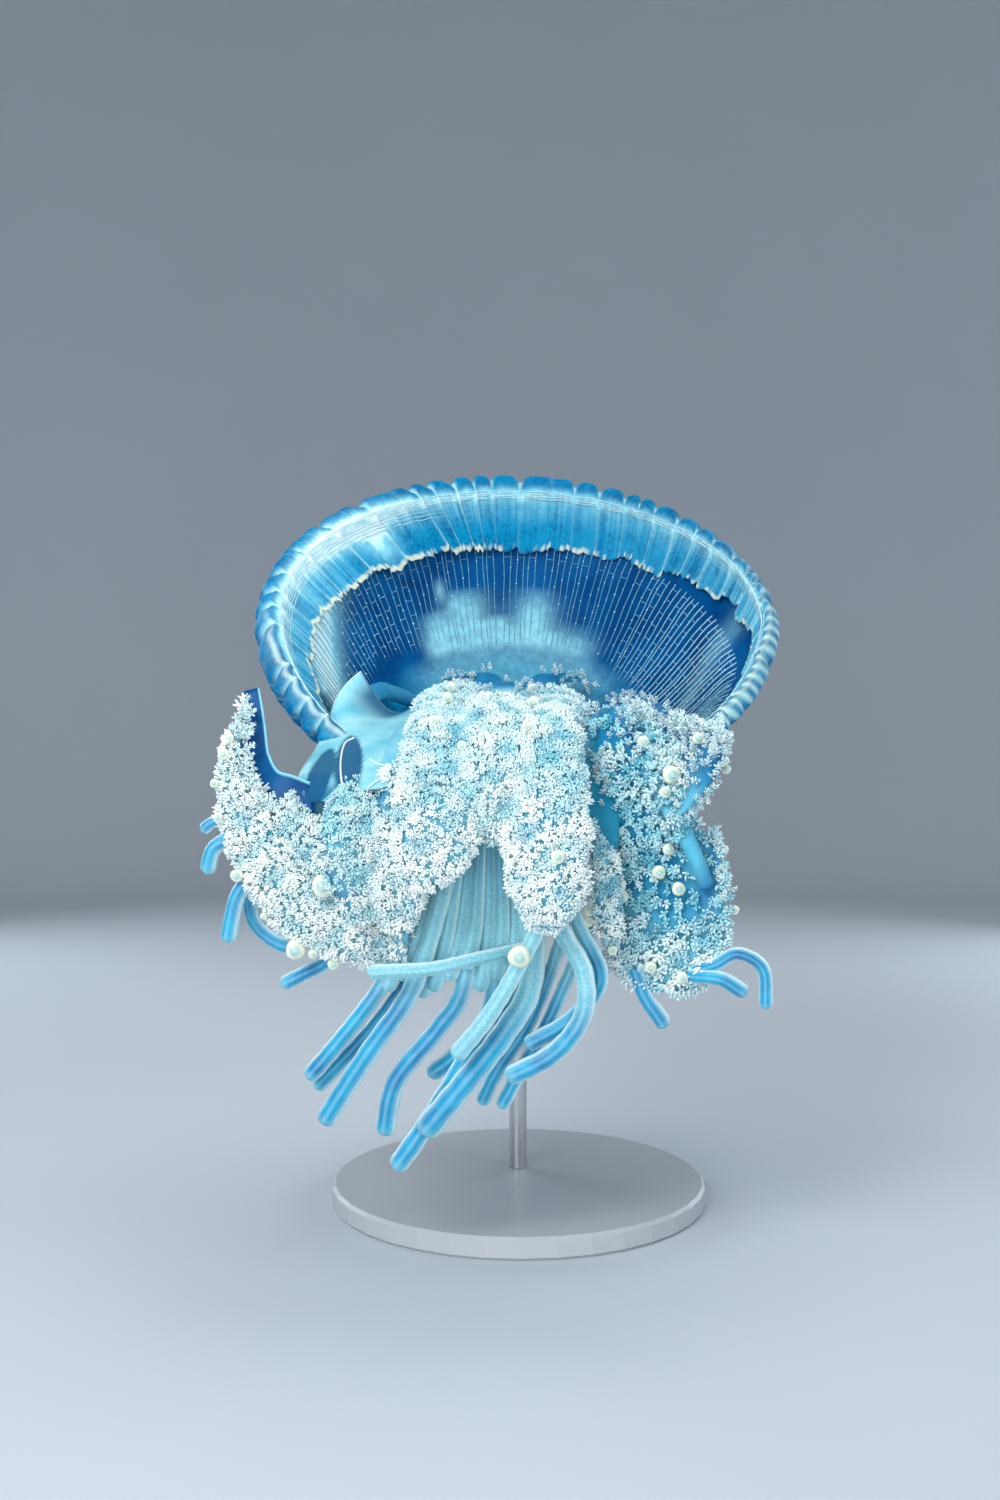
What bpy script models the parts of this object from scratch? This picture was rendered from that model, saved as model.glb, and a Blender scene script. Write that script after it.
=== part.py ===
"""A crown jellyfish on a display stand, modelled as a life-size museum piece.

Units are metres, +Z is up and the viewer stands on the -Y side. The origin is the
centre of the underside of the stand's base.

The bell lies tipped on its back with its mouth facing up and towards the viewer. The
eight mouth-arms leave a round arm disc inside the bell, fall over the near rim and
hang in front of it, with long finger-like filaments below them.
"""

import math
from collections import namedtuple

import bmesh
import bpy
from mathutils import Euler, Matrix, Vector

COLLECTION_NAME = "crown_jellyfish"
MM = 0.001
GAP = 0.3 * MM  # clearance between solids that touch

# ---- Bell: driving sizes -----------------------------------------------------------
BELL_RADIUS = 0.180
BELL_CENTRE = Vector((0.0, 0.020, 0.378))  # middle of the mouth's plane
BELL_TILT = math.radians(39.0)  # about X: the mouth turns up and to the viewer
BELL_ROLL = math.radians(2.4)  # about Y: the left side rides a little higher
BELL_STEPS = 48

# Turned outlines are (radius, height) in bell radii, on the bell's own axis.
FLOOR_OUTSIDE = -0.757  # flat on which the crown sits
FLOOR_INSIDE = -0.64
RIM_HEIGHT = -0.045
SUBUMBRELLA = (
    (0.0, FLOOR_INSIDE), (0.34, FLOOR_INSIDE), (0.47, -0.575), (0.59, -0.46), (0.68, -0.33),
    (0.80, -0.12), (0.865, RIM_HEIGHT),
)
EXUMBRELLA = (
    (0.925, RIM_HEIGHT), (0.80, -0.27), (0.715, -0.40), (0.625, -0.52), (0.535, -0.615),
    (0.45, -0.70), (0.40, FLOOR_OUTSIDE), (0.0, FLOOR_OUTSIDE),
)

# ---- Crown: the dome in the middle of the bell's outer side ------------------------
CROWN_OUTLINE = (
    (0.0, FLOOR_OUTSIDE), (0.385, FLOOR_OUTSIDE), (0.375, -0.81), (0.335, -0.865),
    (0.25, -0.905), (0.12, -0.928), (0.0, -0.932),
)
CROWN_STEPS = 20
WART_COUNT = 24
WART_REACH = 0.315  # furthest wart from the axis, in bell radii
WART_HEIGHT = 0.060
WART_BASE = 0.034
WART_TOP = 0.017
WART_SIDES = 5
WART_SUNK = 0.030  # how much of a wart's foot is inside the dome
GOLDEN_ANGLE = math.radians(137.508)

# ---- Margin: scalloped lappets, in eight lengths -----------------------------------
MARGIN_LENGTHS = 8
LAPPETS_PER_LENGTH = 7
LAPPET_SWELL = 0.024  # how far the middle of a lappet stands out, in bell radii
LAPPET_POINT = 0.040  # how much further its tip reaches
MARGIN_ROOT_RADIUS = 0.895
MARGIN_HALF_ROOT = 0.010
MARGIN_HALF_TIP = 0.005
FOLD_LOW, FOLD_RISE = 0.035, 0.115  # height of the fold at the near side, and how much it gains
PINCH = 0.14  # how strongly the near right side draws in
PINCH_FROM = 0.42  # the radius where that begins, in bell radii

# ---- Arm disc and the pillars that carry it ----------------------------------------
DISC_HEIGHT = -0.45  # its middle, in bell radii
DISC_APOTHEM = 0.28 * BELL_RADIUS  # from its axis to its eight flats
DISC_HALF_THICKNESS = 0.010
DISC_BEVEL = 0.002
PILLAR_COUNT = 4
PILLAR_RADIUS_OUT = 0.215 * BELL_RADIUS  # from the bell's axis to a pillar's middle
PILLAR_HALF_WIDTH = 0.019
PILLAR_HALF_DEPTH = 0.008
PILLAR_WAIST = 0.72
ORAL_DOME = ((0.0, 0.060), (0.12, 0.052), (0.21, 0.032), (0.262, 0.0), (0.0, 0.0))
ORAL_STEPS = 20

# ---- Arms and filaments ------------------------------------------------------------
ARM_SIDES = 10
ARM_ROOT_WIDTH = 18.0  # half sizes of every arm where it leaves the disc, in mm
ARM_ROOT_DEPTH = 7.0
SECTION_POWER = 0.8  # below 1 the cross-sections fill out towards their corners
LUMP_DEPTH = 0.12  # how far the frilly outline falls back between its lobes
FILAMENT_BEVEL_RESOLUTION = 1

# ---- Stand -------------------------------------------------------------------------
BASE_RADIUS = 0.125
BASE_THICKNESS = 0.014
BASE_BEVEL = 0.002
BASE_SIDES = 36
ROD_RADIUS = 0.006
ROD_SIDES = 16
CRADLE_CENTRE_Y = 0.022  # under the lowest part of the bell's wall
CRADLE_FOOT_Z = 0.212
CRADLE_DEPTH = 0.022
CRADLE_FOOT_RADIUS = 0.009
CRADLE_LIP_RADIUS = 0.021
CRADLE_SIDES = 24

# A station is a point of an arm's spine with its half width and half depth, in mm.
Arm = namedtuple("Arm", "name disc_side stations lengths lumps")
ARMS = (
    Arm("arm_front_left", 3, (
        (-27, -8, 293, 21, 11), (-35, -50, 308, 23, 12), (-41, -98, 315, 26, 14),
        (-42, -142, 306, 27, 16), (-43, -178, 279, 28, 16), (-44, -195, 252, 28, 16),
        (-49, -198, 231, 21, 12), (-56, -198, 217, 9, 6)), ("root", "tip"), 3),
    Arm("arm_front_right", 4, (
        (24, -8, 293, 20, 11), (18, -50, 308, 23, 12), (13, -98, 315, 25, 14),
        (12, -142, 306, 26, 16), (12, -181, 277, 27, 16), (13, -197, 246, 27, 16),
        (13, -201, 220, 22, 13), (12, -200, 205, 11, 6)), ("root", "tip"), 3),
    Arm("arm_left_upper", 2, (
        (-62, 49, 304, 12, 7), (-76, 15, 308, 11, 7), (-79, -20, 314, 10, 7),
        (-79, -60, 320, 10, 8), (-81, -100, 322, 10, 9), (-88, -138, 308, 13, 11),
        (-92, -166, 281, 17, 13), (-95, -184, 254, 20, 13), (-94, -188, 236, 18, 11),
        (-88, -187, 221, 10, 6)), ("root", "tip"), 3),
    Arm("arm_right_upper", 6, (
        (63, 91, 331, 13, 7), (80, 62, 337, 14, 8), (86, 15, 333, 15, 9),
        (88, -30, 327, 16, 10), (91, -80, 321, 18, 10), (96, -122, 315, 22, 11),
        (101, -168, 295, 24, 11), (97, -188, 274, 20, 9), (91, -191, 257, 12, 7)),
        ("root", "tip"), 3),
    Arm("arm_right_lower", 5, (
        (60, 47, 299, 12, 8), (62, 15, 304, 13, 9), (57, -30, 311, 13, 10),
        (55, -80, 318, 14, 11), (55, -116, 314, 16, 11), (57, -143, 292, 17, 10),
        (67, -147, 268, 25, 9), (81, -152, 247, 38, 9), (84, -154, 224, 41, 10),
        (80, -155, 199, 42, 11), (79, -155, 180, 36, 11), (77, -155, 166, 21, 8)),
        ("root", "tip"), 3),
    Arm("arm_back_left", 0, (
        (-26, 120, 365, 11, 8), (-42, 120, 362, 11, 8), (-56, 112, 356, 6, 5)), ("whole",), 3),
    Arm("arm_back_right", 7, (
        (26, 120, 364, 11, 8), (42, 120, 359, 11, 8), (56, 112, 353, 6, 5)), ("whole",), 3),
)

# The lower left arm is a bare stalk that ends in a crescent of frills.
STALK = Arm("arm_left_lower", 1, (
    (-64, 91, 336, 12, 5), (-83, 62, 345, 12, 5), (-96, 18, 349, 11, 5),
    (-100, -15, 346, 11, 5), (-102, -60, 339, 11, 5), (-103, -102, 330, 11, 5),
    (-110, -137, 309, 11, 5), (-116, -150, 284, 10, 5), (-119, -153, 251, 8, 4)), ("stalk",), 0)
CRESCENT = Arm("arm_left_lower", None, (
    (-64, -166, 193, 12, 8), (-96, -163, 199, 19, 12), (-124, -159, 217, 23, 13),
    (-144, -154, 242, 23, 13), (-158, -151, 268, 18, 12), (-164, -148, 292, 13, 9),
    (-163, -145, 314, 8, 6), (-158, -142, 331, 3, 3)), ("heel", "horn"), 3)

WEB_PLANE_Y = -0.1475
WEB_THICKNESS = 1.2 * MM
WEB_OUTLINE = (  # (x, z) in mm: up the horn's inner side, then down the free edge
    (-130, 274), (-139, 277), (-145, 288), (-148.5, 301), (-150, 315), (-150.5, 327),
    (-148, 309), (-143.5, 298), (-137, 292.5), (-129.5, 293),
)

# Filaments: radius, then the route from root to tip, in mm.
Filament = namedtuple("Filament", "name radius route lengths")
FILAMENTS = (
    Filament("filament_01", 5.2, (
        (-57, -146, 220), (-71, -150, 185), (-86, -152, 158), (-123, -152, 114)), 1),
    Filament("filament_02", 4.6, ((-48, -134, 202), (-76, -138, 154), (-119, -138, 105)), 1),
    Filament("filament_03", 6.0, (
        (-46, -162, 214), (-62, -165, 168), (-84, -166, 135), (-112, -164, 91)), 1),
    Filament("filament_04", 5.8, (
        (-26, -150, 224), (-33, -154, 168), (-47, -156, 144), (-71, -156, 114),
        (-79, -154, 82)), 1),
    Filament("filament_05", 5.2, (
        (3, -142, 218), (-1, -142, 164), (-26, -142, 136), (-54, -140, 113)), 1),
    Filament("filament_06", 5.0, ((2, -184, 194), (-18, -187, 158), (-37, -186, 133)), 1),
    Filament("filament_07", 7.4, (
        (8, -164, 222), (5, -168, 172), (-9, -171, 146), (-31, -172, 117), (-56, -170, 87)), 2),
    Filament("filament_08", 6.0, (
        (-11, -150, 228), (-15, -152, 165), (-32, -154, 125), (-54, -156, 90),
        (-73, -158, 64)), 2),
    Filament("filament_09", 5.8, (
        (22, -180, 196), (34, -181, 180), (34, -181, 157), (18, -181, 136), (-9, -181, 121)), 2),
    Filament("filament_10", 4.8, (
        (30, -166, 204), (44, -167, 175), (28, -168, 152), (2, -168, 136)), 1),
    Filament("filament_11", 4.3, (
        (25, -142, 200), (6, -146, 148), (-13, -148, 119), (-24, -148, 98)), 1),
    Filament("filament_12", 4.2, (
        (34, -148, 194), (14, -154, 144), (-2, -156, 118), (-13, -156, 98)), 1),
    Filament("filament_13", 4.3, ((-22, -181, 192), (-50, -184, 182), (-85, -183, 180)), 1),
    Filament("filament_14", 5.6, ((-41, -148, 224), (-50, -151, 190), (-57, -151, 160)), 1),
    Filament("filament_left_1", 4.8, ((-173, -152, 248), (-178, -153, 240), (-180, -153, 231)), 1),
    Filament("filament_left_2", 5.0, ((-161, -155, 220), (-165, -156, 206), (-166, -156, 192)), 1),
    Filament("filament_left_4", 4.6, (
        (-159, -139, 220), (-154, -139, 201), (-143, -139, 192), (-127, -139, 186)), 1),
    Filament("filament_left_5", 4.6, ((-112, -142, 178), (-128, -142, 171), (-140, -142, 166)), 1),
    Filament("filament_right_1", 5.0, ((69, -156, 164), (74, -157, 156), (82, -157, 144)), 1),
    Filament("filament_right_2", 4.0, (
        (107, -175, 183), (120, -174, 189), (134, -172, 180), (137, -171, 157)), 1),
    Filament("filament_right_3", 4.6, ((106, -176, 176), (115, -174, 173), (125, -173, 166)), 1),
)

BELL_PLACE = Matrix.Translation(BELL_CENTRE) @ Euler((BELL_TILT, BELL_ROLL, 0.0)).to_matrix().to_4x4()
BELL_AXIS = (BELL_PLACE.to_3x3() @ Vector((0.0, 0.0, 1.0))).normalized()


# ---- Scene and materials -----------------------------------------------------------
def clear_scene():
    for obj in list(bpy.data.objects):
        bpy.data.objects.remove(obj, do_unlink=True)


def new_collection(name):
    collection = bpy.data.collections.new(name)
    bpy.context.scene.collection.children.link(collection)
    return collection


def new_material(name, colour, roughness, metallic=0.0):
    material = bpy.data.materials.new(name)
    material.use_nodes = True
    shader = material.node_tree.nodes["Principled BSDF"]
    shader.inputs["Base Color"].default_value = (*colour, 1.0)
    shader.inputs["Roughness"].default_value = roughness
    shader.inputs["Metallic"].default_value = metallic
    return material


def add_mesh(name, build, material, collection, parent=None):
    """A named object whose mesh is what build(bm) makes, with its faces turned outwards."""
    bm = bmesh.new()
    build(bm)
    bmesh.ops.recalc_face_normals(bm, faces=bm.faces)
    mesh = bpy.data.meshes.new(name)
    bm.to_mesh(mesh)
    bm.free()
    mesh.materials.append(material)
    mesh.shade_smooth()
    mesh.set_sharp_from_angle(angle=math.radians(50.0))
    obj = bpy.data.objects.new(name, mesh)
    obj.parent = parent
    collection.objects.link(obj)
    return obj


# ---- Shape helpers -----------------------------------------------------------------
def smooth_route(points, steps):
    """Points on a Catmull-Rom curve through points of any size, steps to each span."""
    points = [Vector(p) for p in points]
    padded = [2 * points[0] - points[1], *points, 2 * points[-1] - points[-2]]
    route = []
    for i in range(len(points) - 1):
        a, b, c, d = padded[i:i + 4]
        for step in range(steps):
            t = step / steps
            route.append(0.5 * (
                2 * b + (c - a) * t + (2 * a - 5 * b + 4 * c - d) * t * t
                + (3 * b - a - 3 * c + d) * t ** 3))
    return route + [points[-1]]


def tangents(points):
    """The direction of travel at each point of a polyline."""
    last = len(points) - 1
    return [(points[min(i + 1, last)] - points[max(i - 1, 0)]).normalized() for i in range(last + 1)]


def loft(bm, rings):
    """A closed skin over rings of equal length, with a flat cap at each end."""
    rows = [[bm.verts.new(point) for point in ring] for ring in rings]
    for below, above in zip(rows, rows[1:]):
        for i in range(len(below)):
            j = (i + 1) % len(below)
            bm.faces.new((below[i], below[j], above[j], above[i]))
    bm.faces.new(rows[0])
    bm.faces.new(reversed(rows[-1]))


def turned(name, outline, steps, material, collection, parent):
    """An outline of (radius, height) in bell radii, top to bottom, turned about the bell's axis."""
    def outline_edges(bm):
        verts = [bm.verts.new((r * BELL_RADIUS, 0.0, z * BELL_RADIUS)) for r, z in outline]
        for start, end in zip(verts, verts[1:]):
            bm.edges.new((start, end))

    obj = add_mesh(name, outline_edges, material, collection, parent)
    screw = obj.modifiers.new("Turn", "SCREW")
    screw.steps = screw.render_steps = steps
    screw.use_merge_vertices = True
    screw.merge_threshold = 1e-5
    screw.use_smooth_shade = True
    return obj


# ---- Bell --------------------------------------------------------------------------
def drawn_in(far, left):
    """How far the rim draws in, in bell radii, for the cosine and sine of an azimuth."""
    return PINCH * far * left if far < 0 and left < 0 else 0.0


def make_bell(name, material, collection, frame):
    """The bell's wall, turned about its axis and drawn in at the near right."""
    outline = [Vector((r, z)) for r, z in SUBUMBRELLA + EXUMBRELLA]
    rim = SUBUMBRELLA[-1][0]

    def wall(bm):
        rings = []
        for step in range(BELL_STEPS):
            azimuth = math.tau * step / BELL_STEPS
            far, left = math.cos(azimuth), math.sin(azimuth)
            ring = []
            for point in outline[1:-1]:
                share = max(point.x - PINCH_FROM, 0.0) / (rim - PINCH_FROM)
                radius = (point.x - drawn_in(far, left) * share) * BELL_RADIUS
                ring.append(bm.verts.new((-left * radius, far * radius, point.y * BELL_RADIUS)))
            rings.append(ring)
        for ring, following in zip(rings, rings[1:] + rings[:1]):
            for i in range(len(ring) - 1):
                bm.faces.new((ring[i], ring[i + 1], following[i + 1], following[i]))
        bm.faces.new([ring[0] for ring in rings])
        bm.faces.new([ring[-1] for ring in rings])
        bmesh.ops.recalc_face_normals(bm, faces=bm.faces)

    return add_mesh(name, wall, material, collection, frame)


def crown_height(radius):
    """Height of the crown's dome at a radius, both in bell radii."""
    dome = CROWN_OUTLINE[:0:-1]
    for (r0, z0), (r1, z1) in zip(dome, dome[1:]):
        if radius <= r1:
            return z0 + (z1 - z0) * (radius - r0) / (r1 - r0)
    return dome[-1][1]


def make_crown(material, collection, cutters, frame):
    """The low dome on the bell's outer side, with blunt warts set in a spiral."""
    gap = GAP / BELL_RADIUS
    outline = [(r, z - gap if z == FLOOR_OUTSIDE else z) for r, z in CROWN_OUTLINE]
    crown = turned("bell_crown", outline, CROWN_STEPS, material, collection, frame)

    def all_warts(bm):
        for index in range(WART_COUNT):
            radius = WART_REACH * math.sqrt((index + 0.3) / WART_COUNT)
            azimuth = index * GOLDEN_ANGLE
            out = Vector((math.cos(azimuth), math.sin(azimuth), 0.0))
            lean = (out * radius + Vector((0.0, 0.0, -0.62))).normalized()
            foot = out * radius + Vector((0.0, 0.0, crown_height(radius)))
            middle = foot + lean * (WART_HEIGHT - WART_SUNK) / 2
            turn = lean.to_track_quat("Z", "Y").to_matrix().to_4x4()
            bmesh.ops.create_cone(
                bm, cap_ends=True, segments=WART_SIDES,
                radius1=WART_BASE * BELL_RADIUS, radius2=WART_TOP * BELL_RADIUS,
                depth=(WART_HEIGHT + WART_SUNK) * BELL_RADIUS,
                matrix=Matrix.Translation(middle * BELL_RADIUS) @ turn)

    warts = add_mesh("crown_warts", all_warts, material, cutters, frame)
    hide(warts)
    join = crown.modifiers.new("Warts", "BOOLEAN")
    join.operation = "UNION"
    join.object = warts


def hide(obj):
    obj.hide_render = True
    obj.display_type = "WIRE"


# ---- Margin ------------------------------------------------------------------------
def margin_line(azimuth, crest):
    """Middle line of the margin from its root to a lappet's tip, as (radius, height).

    The azimuth is 0 at the far side and grows to the left. The margin folds over the
    mouth, highest and deepest at the far side, and draws in at the near right. crest is
    1 in the middle of a lappet and 0 between two.
    """
    far, left = math.cos(azimuth), math.sin(azimuth)
    share = min(max((far + 0.2 * left + 0.85) / 0.9, 0.0), 1.0)
    fold = FOLD_LOW + FOLD_RISE * share * share * (3 - 2 * share)
    pinch = drawn_in(far, left)
    swell = LAPPET_SWELL * (crest - 0.5) - pinch
    drop = 0.06 + math.hypot(0.17 * max(far, 0.0), 0.11 * max(left, 0.0))
    over = Vector((0.925 + 0.5 * swell, fold + 0.03))
    tip = Vector((0.83 - 0.03 * far - 0.05 * left - pinch, fold - drop))
    tip += (tip - over).normalized() * LAPPET_POINT * (crest - 0.5)
    return (
        Vector((MARGIN_ROOT_RADIUS - pinch, RIM_HEIGHT + GAP / BELL_RADIUS)),
        Vector((0.950 + swell, 0.30 * fold)),
        Vector((0.968 + swell, 0.80 * fold)),
        over,
        (over + tip) / 2 + Vector((0.012, 0.010)),
        tip,
    )


def margin_ring(azimuth, wave_azimuth):
    """The margin's closed cross-section at an azimuth, in the bell's own frame."""
    waves = MARGIN_LENGTHS * LAPPETS_PER_LENGTH
    crest = 0.5 - 0.5 * math.cos(waves * wave_azimuth)
    line = margin_line(wave_azimuth, crest)
    directions = tangents(line)
    outer, inner = [], []
    for i, (point, along) in enumerate(zip(line[:-1], directions)):
        share = i / (len(line) - 1)
        half = MARGIN_HALF_ROOT + (MARGIN_HALF_TIP - MARGIN_HALF_ROOT) * share
        across = Vector((1.0, 0.0)) if i == 0 else Vector((along.y, -along.x))
        outer.append(point + across * half)
        inner.append(point - across * half)
    section = outer + [line[-1]] + inner[::-1]
    side, ahead = -math.sin(azimuth), math.cos(azimuth)
    return [Vector((p.x * side, p.x * ahead, p.y)) * BELL_RADIUS for p in section]


def make_margin(material, collection, frame):
    columns = 2 * LAPPETS_PER_LENGTH
    trim = 0.5 * GAP / BELL_RADIUS
    for length in range(MARGIN_LENGTHS):
        start = length * math.tau / MARGIN_LENGTHS
        rings = []
        for column in range(columns + 1):
            azimuth = start + math.tau / MARGIN_LENGTHS * column / columns
            inset = trim if column == 0 else -trim if column == columns else 0.0
            rings.append(margin_ring(azimuth + inset, azimuth))
        add_mesh(f"margin_{length + 1}", lambda bm, rings=rings: loft(bm, rings),
                 material, collection, frame)


# ---- Arm disc ----------------------------------------------------------------------
def make_disc(material, collection, frame):
    sides = 8

    def puck(bm):
        corner_radius = DISC_APOTHEM / math.cos(math.pi / sides)
        bmesh.ops.create_cone(
            bm, cap_ends=True, segments=sides, radius1=corner_radius, radius2=corner_radius,
            depth=2 * DISC_HALF_THICKNESS)

    disc = add_mesh("arm_disc", puck, material, collection, frame)
    disc.location.z = DISC_HEIGHT * BELL_RADIUS
    bevel = disc.modifiers.new("Soft edges", "BEVEL")
    bevel.width = DISC_BEVEL
    bevel.segments = 1


def make_oral_frills(material, collection, frame):
    """The low dome of frills over the mouth, on the disc's upper face."""
    foot = DISC_HEIGHT + (DISC_HALF_THICKNESS + GAP) / BELL_RADIUS
    outline = [(r, foot + z) for r, z in ORAL_DOME]
    turned("oral_frills", outline, ORAL_STEPS, material, collection, frame)


def make_pillars(material, collection, frame):
    """Four broad pillars between the bell's floor and the disc, with openings between."""
    top = DISC_HEIGHT * BELL_RADIUS - DISC_HALF_THICKNESS - GAP
    bottom = FLOOR_INSIDE * BELL_RADIUS + GAP
    sides = 12
    for number in range(PILLAR_COUNT):
        turn = Matrix.Rotation(math.tau * (number + 0.5) / PILLAR_COUNT, 4, "Z")
        rings = []
        for share, swell in ((0.0, 1.0), (0.3, PILLAR_WAIST), (0.7, PILLAR_WAIST), (1.0, 1.0)):
            height = bottom + (top - bottom) * share
            rings.append([turn @ Vector((
                PILLAR_RADIUS_OUT + swell * PILLAR_HALF_DEPTH * math.cos(math.tau * k / sides),
                swell * PILLAR_HALF_WIDTH * math.sin(math.tau * k / sides), height))
                for k in range(sides)])
        add_mesh(f"pillar_{number + 1}", lambda bm, rings=rings: loft(bm, rings),
                 material, collection, frame)


# ---- Arms --------------------------------------------------------------------------
def disc_flat(side):
    """Middle of one of the disc's eight flats, and the direction that it faces."""
    azimuth = (side + 0.5) * math.tau / 8
    out = Vector((-math.sin(azimuth), math.cos(azimuth), 0.0))
    middle = BELL_PLACE @ (out * (DISC_APOTHEM + GAP) + Vector((0, 0, DISC_HEIGHT * BELL_RADIUS)))
    return middle, BELL_PLACE.to_3x3() @ out


def bulged(share):
    return math.copysign(abs(share) ** SECTION_POWER, share)


def arm_rings(arm, steps):
    """Cross-sections along an arm, its axes carried along the spine without twisting."""
    stations = list(arm.stations)
    if arm.disc_side is None:
        start_direction, depth_axis = None, Vector((0.0, -1.0, 0.0))
    else:
        root, start_direction = disc_flat(arm.disc_side)
        stations.insert(0, (*(root / MM), ARM_ROOT_WIDTH, ARM_ROOT_DEPTH))
        depth_axis = BELL_AXIS
    route = smooth_route(stations, steps)
    spine = [Vector(point[:3]) * MM for point in route]
    directions = tangents(spine)
    if start_direction:
        directions[0] = start_direction
    rings = []
    for index, (centre, along, point) in enumerate(zip(spine, directions, route)):
        depth_axis = (depth_axis - along * depth_axis.dot(along)).normalized()
        width_axis = along.cross(depth_axis)
        ring = []
        for k in range(ARM_SIDES):
            angle = math.tau * k / ARM_SIDES
            fall = 0.5 + 0.5 * math.sin(arm.lumps * angle + 2.4 * index)
            reach = 1.0 - (LUMP_DEPTH * fall if arm.lumps else 0.0)
            ring.append(centre
                        + width_axis * bulged(math.cos(angle)) * point[3] * MM * reach
                        + depth_axis * bulged(math.sin(angle)) * point[4] * MM * reach)
        rings.append((ring, along))
    return rings


def make_arm(arm, material, collection, steps=2):
    """An arm as one loft, parted across its spine into its named lengths."""
    rings = arm_rings(arm, steps)
    count = len(arm.lengths)
    for number, length in enumerate(arm.lengths):
        first = number * (len(rings) - 1) // count
        last = (number + 1) * (len(rings) - 1) // count
        piece = [ring for ring, _ in rings[first:last + 1]]
        if number > 0:
            along = rings[first][1]
            piece[0] = [point + along * GAP for point in piece[0]]
        name = arm.name if length == "whole" else f"{arm.name}_{length}"
        add_mesh(name, lambda bm, piece=piece: loft(bm, piece), material, collection)


def make_web(material, collection):
    """The thin clear skin between the stalk and the crescent's horn."""
    curve = bpy.data.curves.new("arm_left_lower_web", "CURVE")
    curve.dimensions = "2D"
    curve.fill_mode = "BOTH"
    curve.extrude = WEB_THICKNESS / 2
    spline = curve.splines.new("POLY")
    spline.points.add(len(WEB_OUTLINE) - 1)
    for point, (x, z) in zip(spline.points, WEB_OUTLINE):
        point.co = (x * MM, z * MM, 0.0, 1.0)
    spline.use_cyclic_u = True
    curve.materials.append(material)
    web = bpy.data.objects.new(curve.name, curve)
    web.location.y = WEB_PLANE_Y
    web.rotation_euler.x = math.radians(90.0)
    collection.objects.link(web)


# ---- Filaments ---------------------------------------------------------------------
def round_end(points):
    """Radii along a filament that swells a little towards a round tip."""
    lengths = [0.0]
    for start, end in zip(points, points[1:]):
        lengths.append(lengths[-1] + (end - start).length)
    return [0.86 + 0.14 * s / lengths[-1] for s in lengths]


def add_tube(name, points, radius, shares, material, collection):
    curve = bpy.data.curves.new(name, "CURVE")
    curve.dimensions = "3D"
    curve.bevel_depth = radius
    curve.bevel_resolution = FILAMENT_BEVEL_RESOLUTION
    curve.use_fill_caps = True
    curve.resolution_u = 1
    spline = curve.splines.new("POLY")
    spline.points.add(len(points) - 1)
    for point, place, share in zip(spline.points, points, shares):
        point.co = (*place, 1.0)
        point.radius = share
    curve.materials.append(material)
    collection.objects.link(bpy.data.objects.new(name, curve))


def make_filament(filament, material, collection, steps=2):
    points = smooth_route([Vector(p) * MM for p in filament.route], steps)
    radius = filament.radius * MM
    along = (points[-1] - points[-2]).normalized()
    tip = points[-1]
    points = [p for p in points if (tip - p).length > 1.5 * radius]
    points += [tip - along * radius, tip - along * 0.42 * radius, tip]
    shares = round_end(points)
    shares[-2:] = [0.82, 0.36]
    if filament.lengths == 1:
        add_tube(filament.name, points, radius, shares, material, collection)
        return
    cut = len(points) // 2
    ahead = (points[cut + 1] - points[cut - 1]).normalized()
    face, straight = ahead * GAP, ahead * 0.3 * radius
    upper = points[:cut] + [points[cut] - face - straight, points[cut] - face]
    lower = [points[cut] + face, points[cut] + face + straight] + points[cut + 1:]
    add_tube(f"{filament.name}_upper", upper, radius, shares[:cut + 1] + [shares[cut]],
             material, collection)
    add_tube(f"{filament.name}_lower", lower, radius, [shares[cut]] + shares[cut:],
             material, collection)


# ---- Stand -------------------------------------------------------------------------
def make_stand(paint, steel, cutters, collection):
    def plate(bm):
        bmesh.ops.create_cone(
            bm, cap_ends=True, segments=BASE_SIDES, radius1=BASE_RADIUS, radius2=BASE_RADIUS,
            depth=BASE_THICKNESS)

    base = add_mesh("stand_base", plate, paint, collection)
    base.location.z = BASE_THICKNESS / 2
    bevel = base.modifiers.new("Round edge", "BEVEL")
    bevel.width = BASE_BEVEL
    bevel.segments = 1

    rod_length = CRADLE_FOOT_Z - BASE_THICKNESS - 2 * GAP

    def bar(bm):
        bmesh.ops.create_cone(
            bm, cap_ends=True, segments=ROD_SIDES, radius1=ROD_RADIUS, radius2=ROD_RADIUS,
            depth=rod_length)

    rod = add_mesh("stand_rod", bar, steel, collection)
    rod.location = (0.0, CRADLE_CENTRE_Y, BASE_THICKNESS + GAP + rod_length / 2)

    def cup(bm):
        bmesh.ops.create_cone(
            bm, cap_ends=True, segments=CRADLE_SIDES, radius1=CRADLE_FOOT_RADIUS,
            radius2=CRADLE_LIP_RADIUS, depth=CRADLE_DEPTH)

    cradle = add_mesh("stand_cradle", cup, steel, collection)
    cradle.location = (0.0, CRADLE_CENTRE_Y, CRADLE_FOOT_Z + CRADLE_DEPTH / 2)
    lowered = bpy.data.objects.new("lowered_bell_frame", None)
    lowered.matrix_world = Matrix.Translation((0.0, 0.0, -GAP)) @ BELL_PLACE
    cutters.objects.link(lowered)
    bell = make_bell("lowered_bell", steel, cutters, lowered)
    hide(bell)
    cut = cradle.modifiers.new("Seat of the bell", "BOOLEAN")
    cut.operation = "DIFFERENCE"
    cut.object = bell


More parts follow.
